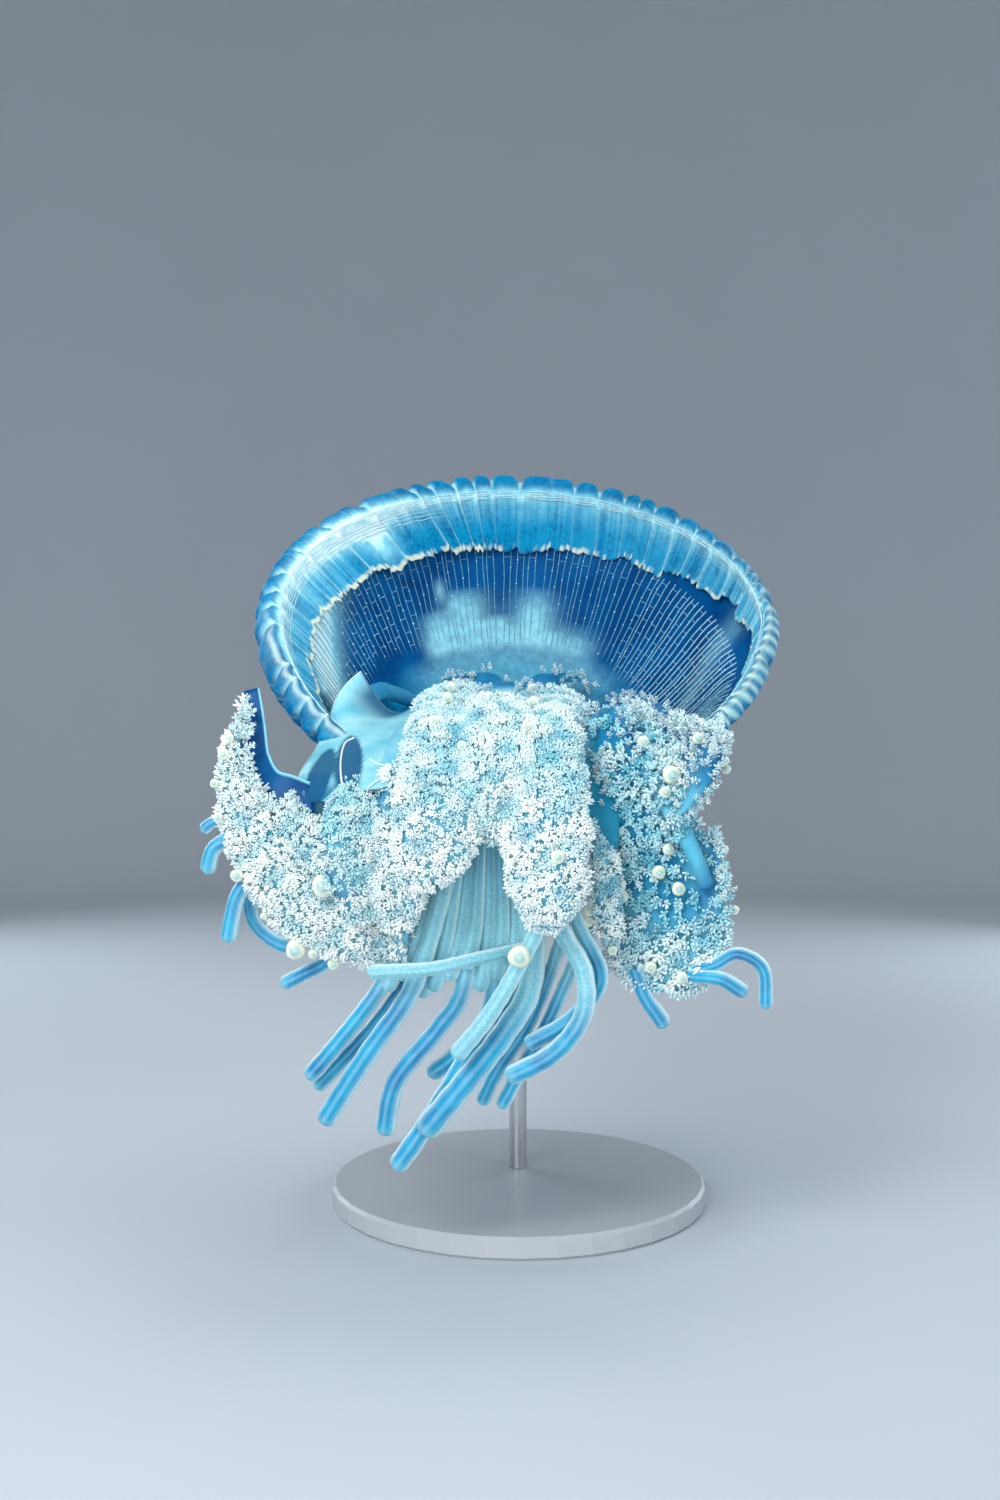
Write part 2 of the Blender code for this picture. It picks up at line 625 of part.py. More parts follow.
# ---- The whole model ---------------------------------------------------------------
def main():
    clear_scene()
    collection = new_collection(COLLECTION_NAME)
    cutters = new_collection("cutters")
    frame = bpy.data.objects.new("bell_frame", None)
    frame.matrix_world = BELL_PLACE
    collection.objects.link(frame)

    bell_jelly = new_material("bell_jelly", (0.02, 0.16, 0.38), 0.25)
    crown_jelly = new_material("crown_jelly", (0.10, 0.34, 0.55), 0.35)
    margin_jelly = new_material("margin_jelly", (0.30, 0.58, 0.62), 0.30)
    stalk_jelly = new_material("stalk_jelly", (0.16, 0.42, 0.55), 0.30)
    frills = new_material("frills", (0.80, 0.88, 0.88), 0.60)
    filament_jelly = new_material("filament_jelly", (0.06, 0.34, 0.52), 0.25)
    paint = new_material("stand_paint", (0.62, 0.64, 0.66), 0.45)
    steel = new_material("stand_steel", (0.55, 0.56, 0.58), 0.30, metallic=1.0)

    make_bell("bell", bell_jelly, collection, frame)
    make_crown(crown_jelly, collection, cutters, frame)
    make_margin(margin_jelly, collection, frame)
    make_disc(stalk_jelly, collection, frame)
    make_oral_frills(frills, collection, frame)
    make_pillars(stalk_jelly, collection, frame)
    for arm in ARMS:
        make_arm(arm, frills, collection)
    make_arm(STALK, stalk_jelly, collection, steps=1)
    make_arm(CRESCENT, frills, collection)
    make_web(stalk_jelly, collection)
    for filament in FILAMENTS:
        make_filament(filament, filament_jelly, collection)
    make_stand(paint, steel, cutters, collection)


main()
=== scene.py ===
"""Looks of the crown jellyfish museum model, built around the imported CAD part.

Everything is in metres in the part's own frame: +Z up, the viewer on the -Y side, the
origin under the middle of the stand. The bell has the solids' own sizes. The arms and
filaments follow the solids' routes, except that some tips and some starts hidden in
the frills are moved a little, and that soft webs join the arms.
"""

import math
from collections import namedtuple

import bpy
import numpy as np
from mathutils import Matrix, Vector, kdtree
from mathutils.bvhtree import BVHTree


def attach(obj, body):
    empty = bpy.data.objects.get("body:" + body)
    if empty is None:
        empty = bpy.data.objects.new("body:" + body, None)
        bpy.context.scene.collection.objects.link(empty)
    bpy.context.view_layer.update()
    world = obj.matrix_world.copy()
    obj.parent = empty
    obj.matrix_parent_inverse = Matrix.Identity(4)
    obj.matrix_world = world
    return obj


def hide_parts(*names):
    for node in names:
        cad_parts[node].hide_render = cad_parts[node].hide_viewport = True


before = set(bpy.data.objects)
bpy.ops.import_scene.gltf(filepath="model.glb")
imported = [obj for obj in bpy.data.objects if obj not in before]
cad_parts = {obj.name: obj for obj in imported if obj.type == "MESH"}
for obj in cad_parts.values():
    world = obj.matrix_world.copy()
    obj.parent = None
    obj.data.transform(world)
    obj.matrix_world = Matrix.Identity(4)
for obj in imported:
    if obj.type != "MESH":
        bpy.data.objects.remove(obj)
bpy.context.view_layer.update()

MM = 0.001
BODY = "root"

# ---- Bell, in bell radii in the bell's own frame -----------------------------------
BELL_RADIUS = 0.180
BELL_CENTRE = Vector((0.0, 0.020, 0.378))
BELL_TILT = math.radians(39.0)
BELL_ROLL = math.radians(2.4)
BELL_PLACE = (Matrix.Translation(BELL_CENTRE) @ Matrix.Rotation(BELL_ROLL, 4, "Y")
              @ Matrix.Rotation(BELL_TILT, 4, "X"))
BELL_AXIS = BELL_PLACE.to_3x3() @ Vector((0, 0, 1))
FLOOR_OUTSIDE = -0.757
FLOOR_INSIDE = -0.64
RIM_HEIGHT = -0.045
# Outlines as (radius, height) points.
SUBUMBRELLA = ((0.34, FLOOR_INSIDE), (0.47, -0.575), (0.59, -0.46), (0.68, -0.33), (0.80, -0.12))
EXUMBRELLA = ((0.40, FLOOR_OUTSIDE), (0.45, -0.70), (0.535, -0.615), (0.625, -0.52),
              (0.715, -0.40), (0.80, -0.27))
CROWN_OUTLINE = ((0.405, -0.74), (0.398, -0.79), (0.375, -0.825), (0.335, -0.865),
                 (0.25, -0.905), (0.12, -0.928), (0.0, -0.932))
ORAL_DOME = ((0.262, 0.0), (0.235, 0.022), (0.17, 0.043), (0.09, 0.056), (0.0, 0.060))
DISC_OUTLINE = ((0.0, -0.505), (0.262, -0.505), (0.292, -0.49), (0.302, -0.45), (0.292, -0.41))
DISC_HEIGHT = -0.45
DOME_FOOT = DISC_HEIGHT + 0.058
PILLAR_RADIUS = 0.215
# Half widths and half depths in mm, from a pillar's foot to its head.
PILLAR_SIZES = ((24, 13), (14, 6.5), (13, 6), (14, 6.5), (22, 12))

WARTS, WART_REACH, WART_HEIGHT, WART_BASE = 24, 0.315, 0.060, 0.036
WART_OUTLINE = ((1.0, 0.0), (0.82, 0.10), (0.66, 0.30), (0.60, 0.55), (0.58, 0.78), (0.46, 0.93),
                (0.22, 0.99))
GOLDEN_ANGLE = math.pi * (3 - math.sqrt(5))

LAPPETS = 56
LAPPET_TURN = 2 * math.pi / LAPPETS
MARGIN_ROOT_RADIUS = 0.895
FOLD_LOW, FOLD_RISE = 0.035, 0.115
PINCH, PINCH_FROM, PINCH_TO = 0.14, 0.42, 0.865
SWELL = 0.030

# ---- Arms and filaments, in mm -----------------------------------------------------
ARM_ROOT_RADIUS = 0.27
ARM_ROOT_WIDTH, ARM_ROOT_DEPTH = 18.0, 7.0
SECTION_POWER = 0.8
# Stations are (x, y, z, half width, half depth). The frills start at the share "bare".
Arm = namedtuple("Arm", "name disc_side stations bare frill")
ARMS = (
    Arm("arm_front_left", 3, (
        (-27, -8, 293, 21, 11), (-35, -50, 308, 23, 12), (-41, -98, 315, 26, 14),
        (-42, -142, 306, 27, 16), (-43, -178, 282, 28, 16), (-46, -194, 262, 28, 16),
        (-53, -197, 243, 23, 12), (-62, -197, 230, 11, 6)), 0.05, "dense"),
    Arm("arm_front_right", 4, (
        (24, -8, 293, 20, 11), (18, -50, 308, 23, 12), (13, -98, 315, 25, 14),
        (12, -142, 306, 26, 16), (12, -181, 277, 27, 16), (13, -197, 246, 27, 16),
        (13, -201, 220, 22, 13), (12, -200, 205, 11, 6)), 0.05, "dense"),
    Arm("arm_left_upper", 2, (
        (-62, 49, 304, 10, 6), (-74, 15, 306, 8, 5), (-77, -20, 309, 7, 4),
        (-77, -60, 312, 7, 4), (-79, -96, 308, 7, 4), (-86, -130, 290, 9, 5),
        (-92, -160, 272, 17, 12), (-95, -182, 254, 21, 13), (-94, -187, 236, 19, 12),
        (-87, -184, 210, 12, 8)), 0.74, "dense"),
    Arm("arm_right_upper", 6, (
        (63, 91, 329, 12, 6), (80, 62, 333, 12, 5), (85, 15, 329, 12, 5),
        (87, -30, 322, 13, 6), (91, -80, 314, 14, 7), (98, -122, 307, 18, 9),
        (102, -166, 294, 21, 10), (93, -186, 278, 15, 9), (84, -190, 265, 8, 6)), 0.60, "coral"),
    Arm("arm_right_lower", 5, (
        (60, 47, 299, 12, 8), (62, 15, 304, 13, 9), (57, -30, 311, 13, 10),
        (55, -80, 318, 14, 11), (55, -116, 314, 16, 11), (57, -143, 292, 17, 10),
        (67, -147, 268, 25, 9), (78, -152, 247, 34, 9), (84, -154, 224, 41, 10),
        (80, -155, 199, 42, 11), (79, -155, 180, 36, 11), (77, -155, 166, 21, 8)), 0.50, "open"),
    Arm("arm_back_left", 0, (
        (-26, 120, 356, 11, 8), (-42, 120, 357, 10, 7), (-56, 112, 355, 6, 5)), 0.35, "coral"),
    Arm("arm_back_right", 7, (
        (26, 120, 356, 11, 8), (42, 120, 356, 10, 7), (56, 112, 352, 6, 5)), 0.35, "coral"),
    Arm("arm_left_lower_stalk", 1, (
        (-64, 91, 333, 9, 4), (-82, 66, 340, 9, 4), (-94, 30, 343, 8, 4),
        (-101, 2, 337, 8, 4), (-106, -40, 323, 8, 4), (-110, -82, 306, 7, 4),
        (-113, -114, 291, 6, 4), (-116, -138, 276, 6, 4), (-119, -150, 251, 6, 4)), 1.0, None),
    Arm("arm_left_lower_crescent", None, (
        (-64, -166, 193, 12, 8), (-96, -163, 199, 19, 12), (-124, -159, 217, 23, 13),
        (-144, -154, 242, 23, 13), (-158, -151, 268, 18, 12), (-164, -148, 292, 13, 9),
        (-163, -145, 314, 8, 6), (-158, -142, 331, 3, 3)), 0.0, "wool"),
)
# Soft webs that fill the gaps between the arms; the solids leave these gaps open.
WEBS = (
    Arm("web_crest_left", None, (
        (-20, 60, 338, 14, 9), (-36, 20, 337, 20, 12), (-44, -20, 330, 24, 13),
        (-46, -70, 324, 24, 12), (-46, -110, 316, 16, 8)), 0.12, "sparse"),
    Arm("web_crest_right", None, (
        (22, 60, 338, 14, 9), (27, 20, 335, 18, 12), (28, -20, 327, 20, 13),
        (26, -70, 321, 20, 12), (24, -110, 314, 14, 8)), 0.12, "sparse"),
    Arm("web_middle", None, (
        (-2, 30, 328, 22, 12), (-8, -30, 322, 25, 14), (-12, -90, 323, 25, 14),
        (-14, -144, 311, 24, 15), (-15, -180, 284, 22, 14), (-16, -189, 262, 16, 11),
        (-17, -189, 250, 7, 5)), 0.25, "dense"),
    Arm("web_left", None, (
        (-58, -60, 312, 10, 7), (-63, -100, 312, 13, 8), (-66, -140, 296, 15, 10),
        (-68, -170, 268, 18, 12), (-68, -182, 244, 18, 10), (-69, -182, 222, 20, 9),
        (-70, -178, 205, 14, 8)), 0.50, "dense"),
    Arm("web_crescent", None, (
        (-92, -172, 226, 12, 8), (-108, -166, 242, 14, 11), (-124, -161, 258, 14, 10),
        (-138, -158, 270, 8, 6)), 0.0, "dense"),
    Arm("web_right", None, (
        (30, -20, 312, 15, 5), (37, -80, 314, 16, 5), (41, -124, 300, 15, 5),
        (43, -146, 274, 14, 5), (44, -154, 252, 13, 5), (45, -157, 236, 10, 4)), 1.0, None),
    Arm("web_right_low", None, (
        (34, -178, 262, 6, 4), (41, -175, 250, 9, 8), (46, -170, 234, 13, 10),
        (48, -167, 216, 13, 10), (50, -164, 200, 10, 8), (52, -162, 190, 5, 4)), 0.0, "dense"),
    Arm("web_right_tube", None, (
        (86, -166, 270, 5.4, 5.4), (91, -174, 254, 5.4, 5.4), (97, -176, 240, 5.2, 5.2),
        (103, -172, 226, 5, 5)), 1.0, None),
    Arm("web_right_far", None, (
        (64, 20, 322, 14, 6), (70, -50, 316, 15, 7), (74, -115, 308, 16, 8),
        (80, -150, 290, 18, 9), (85, -172, 268, 14, 9), (86, -176, 252, 6, 5)), 0.58, "open"),
)
HALVED_ARMS = ("front_left", "front_right", "left_upper", "right_upper", "right_lower")
ARM_NODES = (
    "arm_disc", "oral_frills", *(f"pillar_{number}" for number in range(1, 5)),
    *(f"arm_{name}_{end}" for name in HALVED_ARMS for end in ("root", "tip")),
    "arm_back_left", "arm_back_right", *(f"arm_left_lower_{name}" for name in ("stalk", "heel", "horn")))

# A filament is milky up to the share "milky" of its length.
Filament = namedtuple("Filament", "nodes radius route milky")
FILAMENTS = (
    Filament(("filament_01",), 5.2, (
        (-57, -146, 220), (-71, -150, 185), (-86, -152, 158), (-123, -152, 114)), 0.45),
    Filament(("filament_02",), 4.6, (
        (-38, -143, 226), (-50, -137, 198), (-76, -138, 154), (-119, -138, 105)), 0.3),
    Filament(("filament_03",), 6.0, (
        (-40, -152, 244), (-47, -162, 212), (-62, -165, 168), (-84, -166, 135), (-112, -164, 91)), 0.46),
    Filament(("filament_04",), 5.8, (
        (-26, -150, 224), (-33, -154, 168), (-47, -156, 144), (-71, -156, 114), (-79, -154, 82)), 0.36),
    Filament(("filament_05",), 5.2, (
        (3, -142, 218), (-1, -142, 164), (-26, -142, 136), (-54, -140, 113)), 0.5),
    Filament(("filament_06",), 5.0, (
        (14, -174, 216), (4, -183, 194), (-18, -187, 158), (-37, -186, 133)), 1.2),
    Filament(("filament_07_upper", "filament_07_lower"), 7.4, (
        (8, -164, 222), (5, -168, 172), (-9, -171, 146), (-31, -172, 117), (-56, -170, 87)), 0.46),
    Filament(("filament_08_upper", "filament_08_lower"), 6.0, (
        (-11, -150, 228), (-15, -152, 165), (-32, -154, 125), (-54, -156, 90), (-73, -158, 64)), 0.34),
    Filament(("filament_09_upper", "filament_09_lower"), 5.8, (
        (14, -172, 218), (24, -179, 198), (34, -181, 180), (34, -181, 157), (18, -181, 136),
        (-9, -181, 121)), 0.55),
    Filament(("filament_10",), 4.8, (
        (24, -158, 226), (32, -166, 204), (44, -167, 175), (28, -168, 152), (2, -168, 136)), 0.3),
    Filament(("filament_11",), 4.3, (
        (22, -168, 226), (24, -150, 200), (6, -146, 148), (-13, -148, 119), (-24, -148, 98)), 0.4),
    Filament(("filament_12",), 4.2, (
        (46, -164, 214), (35, -152, 192), (14, -154, 144), (-2, -156, 118), (-13, -156, 98)), 0.4),
    Filament(("filament_13",), 4.3, (
        (0, -162, 190), (-22, -176, 187), (-50, -184, 182), (-85, -183, 180)), 1.5),
    Filament(("filament_14",), 5.6, (
        (-34, -146, 246), (-41, -148, 224), (-50, -151, 190), (-57, -151, 160)), 1.5),
    Filament((), 3.6, (
        (-164, -149, 268), (-176, -150, 261), (-184, -150, 255)), 0),
    Filament(("filament_left_1",), 4.8, (
        (-158, -151, 256), (-173, -152, 248), (-178, -153, 240), (-180, -153, 231)), 0),
    Filament(("filament_left_2",), 5.0, (
        (-148, -154, 238), (-161, -155, 220), (-165, -156, 206), (-166, -156, 192)), 0),
    Filament(("filament_left_4",), 4.6, (
        (-140, -150, 238), (-155, -141, 226), (-156, -139, 205), (-143, -139, 192), (-127, -139, 186)), 0),
    Filament(("filament_left_5",), 4.6, (
        (-98, -158, 196), (-111, -148, 181), (-127, -142, 172), (-140, -142, 166)), 0),
    Filament(("filament_right_1",), 5.0, (
        (64, -155, 178), (69, -156, 165), (74, -157, 156), (82, -157, 144)), 0),
    Filament(("filament_right_2",), 4.0, (
        (94, -166, 178), (107, -175, 183), (120, -174, 189), (134, -172, 180), (137, -171, 157)), 0),
    Filament(("filament_right_3",), 4.6, (
        (94, -168, 176), (106, -176, 176), (115, -174, 173), (125, -173, 166)), 0),
)

RNG = np.random.default_rng(7)


# ---- Numbers and curves ------------------------------------------------------------
def smooth_step(low, high, x):
    t = np.clip((np.asarray(x, dtype=float) - low) / (high - low), 0.0, 1.0)
    return t * t * (3.0 - 2.0 * t)


def bump_at(x, centre, width):
    """1 at the centre, falling smoothly to about a third a width away."""
    return np.exp(-((np.asarray(x, dtype=float) - centre) / width) ** 2)


def from_table(x, stops):
    """Values between the (x, value) stops of a table."""
    at, values = zip(*stops)
    return np.interp(x, at, values)


def turned_apart(angle, centre):
    """Signed difference of two angles in degrees, between -180 and 180."""
    return (np.asarray(angle, dtype=float) - centre + 180.0) % 360.0 - 180.0


def unit(v):
    return v / np.maximum(np.linalg.norm(v, axis=-1, keepdims=True), 1e-12)


def spline(points, steps):
    """Catmull-Rom through the first axis of an array, steps to each span."""
    points = np.asarray(points, dtype=float)
    padded = np.concatenate([2 * points[:1] - points[1:2], points, 2 * points[-1:] - points[-2:-1]])
    out = []
    for i in range(len(points) - 1):
        a, b, c, d = padded[i:i + 4]
        for step in range(steps):
            t = step / steps
            out.append(0.5 * (2 * b + (c - a) * t + (2 * a - 5 * b + 4 * c - d) * t * t
                              + (3 * b - a - 3 * c + d) * t ** 3))
    out.append(points[-1])
    return np.array(out)


def spline_mm(points, steps):
    """A spline through points given in mm, in metres."""
    return spline(np.array(points, dtype=float) * MM, steps)


def resampled(line, at, shares):
    """Points of a line, known at some shares of its length, at other shares."""
    return np.stack([np.interp(shares, at, line[:, k]) for k in range(line.shape[1])], -1)


def run_of(line):
    """Shares of a line's length at its points, and the length."""
    gaps = np.linalg.norm(np.diff(line, axis=0), axis=1)
    return np.concatenate([[0.0], np.cumsum(gaps)]) / gaps.sum(), gaps.sum()


def bell_to_world(local):
    """Points in bell radii in the bell's frame, as world points."""
    turn = np.array(BELL_PLACE.to_3x3())
    return np.asarray(local) * BELL_RADIUS @ turn.T + np.array(BELL_PLACE.translation)


def on_bell(azimuth, radius, height):
    """Azimuth (0 far, growing to the left), radius and height in bell radii, as world points."""
    azimuth, radius, height = np.broadcast_arrays(azimuth, radius, height)
    return bell_to_world(np.stack([-np.sin(azimuth) * radius, np.cos(azimuth) * radius, height], -1))


# ---- Mesh helpers ------------------------------------------------------------------
def piece(name, verts, faces, material, nodes=(), values=None, uv=None):
    """A smooth mesh from arrays of points and equal-sided faces, riding with the model."""
    verts = np.asarray(verts, dtype=np.float32)
    faces = np.asarray(faces, dtype=np.int32)
    count, sides = faces.shape
    mesh = bpy.data.meshes.new(name)
    mesh.vertices.add(len(verts))
    mesh.vertices.foreach_set("co", verts.ravel())
    mesh.loops.add(count * sides)
    mesh.loops.foreach_set("vertex_index", faces.ravel())
    mesh.polygons.add(count)
    mesh.polygons.foreach_set("loop_start", np.arange(0, count * sides, sides, dtype=np.int32))
    mesh.update(calc_edges=True)
    mesh.validate()
    mesh.polygons.foreach_set("use_smooth", np.full(len(mesh.polygons), True))
    for attribute, numbers in (values or {}).items():
        layer = mesh.attributes.new(attribute, "FLOAT", "POINT")
        layer.data.foreach_set("value", np.asarray(numbers, dtype=np.float32).ravel())
    if uv is not None:
        layer = mesh.uv_layers.new(name="OFBake")
        layer.data.foreach_set("uv", np.asarray(uv, dtype=np.float32)[faces.ravel()].ravel())
    obj = bpy.data.objects.new(name, mesh)
    bpy.context.scene.collection.objects.link(obj)
    mesh.materials.append(material)
    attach(obj, BODY)
    if nodes:
        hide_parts(*nodes)


def grid_faces(rows, columns, closed_columns=False):
    """Quads of a grid of points stored row by row."""
    r = np.arange(rows - 1)
    c = np.arange(columns if closed_columns else columns - 1)
    r, c = np.meshgrid(r, c, indexing="ij")
    below, right = (r + 1) % rows, (c + 1) % columns
    quads = np.stack([r * columns + c, r * columns + right, below * columns + right,
                      below * columns + c], axis=-1)
    return quads.reshape(-1, 4)


def triangles(quads):
    return np.concatenate([quads[:, [0, 1, 2]], quads[:, [0, 2, 3]]])


def closed_rings(rings, poles):
    """Triangles over (rings, sides, 3) points, with a fan to a pole at each end."""
    count, sides = len(rings) * rings.shape[1], rings.shape[1]
    ring, last = np.arange(sides), count - sides
    after = (ring + 1) % sides
    caps = np.concatenate([np.stack([np.full(sides, count), after, ring], -1),
                           np.stack([np.full(sides, count + 1), last + ring, last + after], -1)])
    grid = triangles(grid_faces(len(rings), sides, closed_columns=True))
    return np.concatenate([rings.reshape(-1, 3), poles]), np.concatenate([grid, caps])


def joined(parts):
    """One (verts, faces, values) from many, with the faces renumbered."""
    verts, faces, values, start = [], [], [], 0
    for part_verts, part_faces, part_values in parts:
        verts.append(part_verts)
        faces.append(part_faces + start)
        values.append(part_values)
        start += len(part_verts)
    names = values[0].keys()
    return (np.concatenate(verts), np.concatenate(faces),
            {name: np.concatenate([v[name] for v in values]) for name in names})


def joined_piece(name, parts, material, nodes=()):
    verts, faces, values = joined(parts)
    piece(name, verts, faces, material, nodes, values)


def tube_mesh(routes, radii, sides=4, up=(0.0, 0.0, 1.0)):
    """Closed tubes along (n, stations, 3) routes, and the station of each point."""
    routes = np.asarray(routes, dtype=float)
    count, stations = routes.shape[:2]
    radii = np.broadcast_to(radii, (count, stations))
    along = unit(np.gradient(routes, axis=1))
    side = unit(np.cross(along, np.broadcast_to(up, along.shape)))
    other = np.cross(side, along)
    turn = np.arange(sides) * (2 * math.pi / sides)
    ring = (side[:, :, None] * np.cos(turn)[:, None] + other[:, :, None] * np.sin(turn)[:, None])
    verts = routes[:, :, None] + ring * radii[:, :, None, None]
    one = triangles(grid_faces(stations, sides, closed_columns=True))
    fan = np.stack([np.zeros(sides - 2, int), np.arange(1, sides - 1), np.arange(2, sides)], -1)
    one = np.concatenate([one, fan, fan[:, ::-1] + (stations - 1) * sides])[:, ::-1]
    faces = one[None] + (np.arange(count) * stations * sides)[:, None, None]
    return verts.reshape(-1, 3), faces.reshape(-1, 3), np.repeat(np.arange(count * stations), sides)


def beads(centres, radii):
    """Small closed eight-sided beads."""
    axes = np.array([(1, 0, 0), (0, 1, 0), (-1, 0, 0), (0, -1, 0), (0, 0, 1), (0, 0, -1)], dtype=float)
    shell = np.array([(0, 1, 4), (1, 2, 4), (2, 3, 4), (3, 0, 4), (1, 0, 5), (2, 1, 5), (3, 2, 5), (0, 3, 5)])
    verts = centres[:, None] + axes * np.broadcast_to(radii, len(centres))[:, None, None]
    faces = shell[None] + (np.arange(len(centres)) * 6)[:, None, None]
    return verts.reshape(-1, 3), faces.reshape(-1, 3)


def remeshed(verts, faces, voxel, smoothing):
    """The outer surface of overlapping closed shapes as one smooth mesh."""
    mesh = bpy.data.meshes.new("joined_shapes")
    mesh.from_pydata(verts.tolist(), [], faces.tolist())
    obj = bpy.data.objects.new("joined_shapes", mesh)
    bpy.context.scene.collection.objects.link(obj)
    remesh = obj.modifiers.new("remesh", "REMESH")
    remesh.mode, remesh.voxel_size = "VOXEL", voxel
    smooth = obj.modifiers.new("smooth", "SMOOTH")
    smooth.factor, smooth.iterations = 0.5, smoothing
    depsgraph = bpy.context.evaluated_depsgraph_get()
    made = bpy.data.meshes.new_from_object(obj.evaluated_get(depsgraph))
    bpy.data.objects.remove(obj)
    points = np.empty(len(made.vertices) * 3)
    made.vertices.foreach_get("co", points)
    made.calc_loop_triangles()
    corners = np.empty(len(made.loop_triangles) * 3, dtype=np.int32)
    made.loop_triangles.foreach_get("vertices", corners)
    bpy.data.meshes.remove(made)
    return points.reshape(-1, 3), corners.reshape(-1, 3)


# ---- Materials ---------------------------------------------------------------------
class Paint:
    """Builds one Principled material's node tree."""

    def __init__(self, name, roughness, specular=0.35, metallic=0.0, alpha=1.0):
        self.material = bpy.data.materials.new(name)
        self.material.use_nodes = True
        self.tree = self.material.node_tree
        self.shader = self.tree.nodes["Principled BSDF"]
        self.set("Roughness", roughness)
        self.set("Specular IOR Level", specular)
        self.set("Metallic", metallic)
        self.set("Alpha", alpha)

    def set(self, socket, value):
        self.shader.inputs[socket].default_value = value

    def sheen(self, weight, roughness, tint):
        self.set("Sheen Weight", weight)
        self.set("Sheen Roughness", roughness)
        self.set("Sheen Tint", (*tint, 1.0))

    def node(self, kind, **settings):
        made = self.tree.nodes.new(kind)
        for name, value in settings.items():
            setattr(made, name, value)
        return made

    def plug(self, source, target):
        self.tree.links.new(source, target)

    def value(self, name):
        """A number that the mesh carries at its points."""
        return self.node("ShaderNodeAttribute", attribute_name=name).outputs["Fac"]

    def texture(self, kind, output, **numbers):
        """A texture in the object's own metres."""
        made = self.node(kind)
        for socket, number in numbers.items():
            made.inputs[socket].default_value = number
        where = self.node("ShaderNodeTexCoord")
        self.plug(where.outputs["Object"], made.inputs["Vector"])
        return made.outputs[output]

    def noise(self, scale, detail=3.0, roughness=0.55):
        return self.texture("ShaderNodeTexNoise", "Fac", Scale=scale, Detail=detail, Roughness=roughness)

    def cells(self, scale):
        return self.texture("ShaderNodeTexVoronoi", "Distance", Scale=scale)

    def fit(self, source, from_low, from_high, to_low=0.0, to_high=1.0):
        made = self.node("ShaderNodeMapRange")
        for socket, number in zip(("From Min", "From Max", "To Min", "To Max"),
                                  (from_low, from_high, to_low, to_high)):
            made.inputs[socket].default_value = number
        self.plug(source, made.inputs["Value"])
        return made.outputs["Result"]

    def math(self, operation, first, second):
        made = self.node("ShaderNodeMath", operation=operation)
        for socket, value in zip(made.inputs, (first, second)):
            if isinstance(value, float):
                socket.default_value = value
            else:
                self.plug(value, socket)
        return made.outputs["Value"]

    def mix(self, factor, first, second):
        made = self.node("ShaderNodeMix", data_type="RGBA")
        self.plug(factor, made.inputs[0])
        for socket, colour in zip((made.inputs[6], made.inputs[7]), (first, second)):
            if isinstance(colour, tuple):
                socket.default_value = (*colour, 1.0)
            else:
                self.plug(colour, socket)
        return made.outputs[2]

    def mottled(self, first, second, scale, detail=4.0, low=0.3, high=0.7):
        """Two colours in soft patches."""
        return self.mix(self.fit(self.noise(scale, detail), low, high), first, second)

    def colour(self, source):
        self.plug(source, self.shader.inputs["Base Color"])

    def bump(self, source, strength, distance):
        made = self.node("ShaderNodeBump")
        made.inputs["Strength"].default_value = strength
        made.inputs["Distance"].default_value = distance
        self.plug(source, made.inputs["Height"])
        self.plug(made.outputs["Normal"], self.shader.inputs["Normal"])


DEEP = (0.0005, 0.040, 0.16)
BLUE = (0.0005, 0.105, 0.31)
TEAL = (0.001, 0.26, 0.48)
CYAN = (0.10, 0.52, 0.68)
MILK = (0.42, 0.68, 0.76)
PEARL = (0.33, 0.76, 0.85)
WHITE = (0.86, 0.93, 0.92)
CREAM = (0.80, 0.82, 0.62)


def bell_paint():
    """Deep blue jelly: milky patches inside, cream lappet edges, canals and grains outside."""
    paint = Paint("bell_jelly", 0.45, specular=0.03)
    mottle = paint.fit(paint.noise(26.0, 5.0, 0.6), 0.32, 0.70)
    base = paint.mix(mottle, DEEP, BLUE)
    teal = paint.math("MULTIPLY", paint.value("teal"),
                      paint.fit(paint.noise(75.0, 5.0, 0.65), 0.3, 0.7, 0.5, 1.6))
    teal = paint.math("MULTIPLY", teal, paint.fit(paint.noise(420.0, 2.0), 0.35, 0.65, 0.55, 1.3))
    base = paint.mix(teal, base, TEAL)
    canals = paint.math("MULTIPLY", paint.value("canal"), paint.fit(paint.noise(40.0), 0.3, 0.7, 0.2, 0.7))
    base = paint.mix(canals, base, CYAN)
    grains = paint.math("MULTIPLY", paint.value("outside"), paint.fit(paint.cells(230.0), 0.1, 0.3, 0.5, 0.0))
    base = paint.mix(grains, base, MILK)
    fibres = paint.fit(paint.noise(150.0, 5.0, 0.7), 0.25, 0.7, 0.55, 1.2)
    base = paint.mix(paint.math("MULTIPLY", paint.value("milk"), fibres), base, PEARL)
    base = paint.mix(paint.fit(paint.value("milk"), 0.9, 1.5, 0.0, 0.75), base, WHITE)
    paint.colour(paint.mix(paint.value("cream"), base, CREAM))
    paint.bump(paint.noise(420.0, 3.0), 0.3, 0.0006)
    return paint.material


def line_paint():
    """Raised pale lines and dots inside the bell."""
    paint = Paint("bell_lines", 0.45, specular=0.2)
    fleck = paint.fit(paint.noise(220.0), 0.3, 0.7, 0.7, 1.2)
    bright = paint.math("MULTIPLY", paint.value("bright"), fleck)
    paint.colour(paint.mix(bright, (0.01, 0.25, 0.42), (0.66, 0.93, 0.97)))
    return paint.material


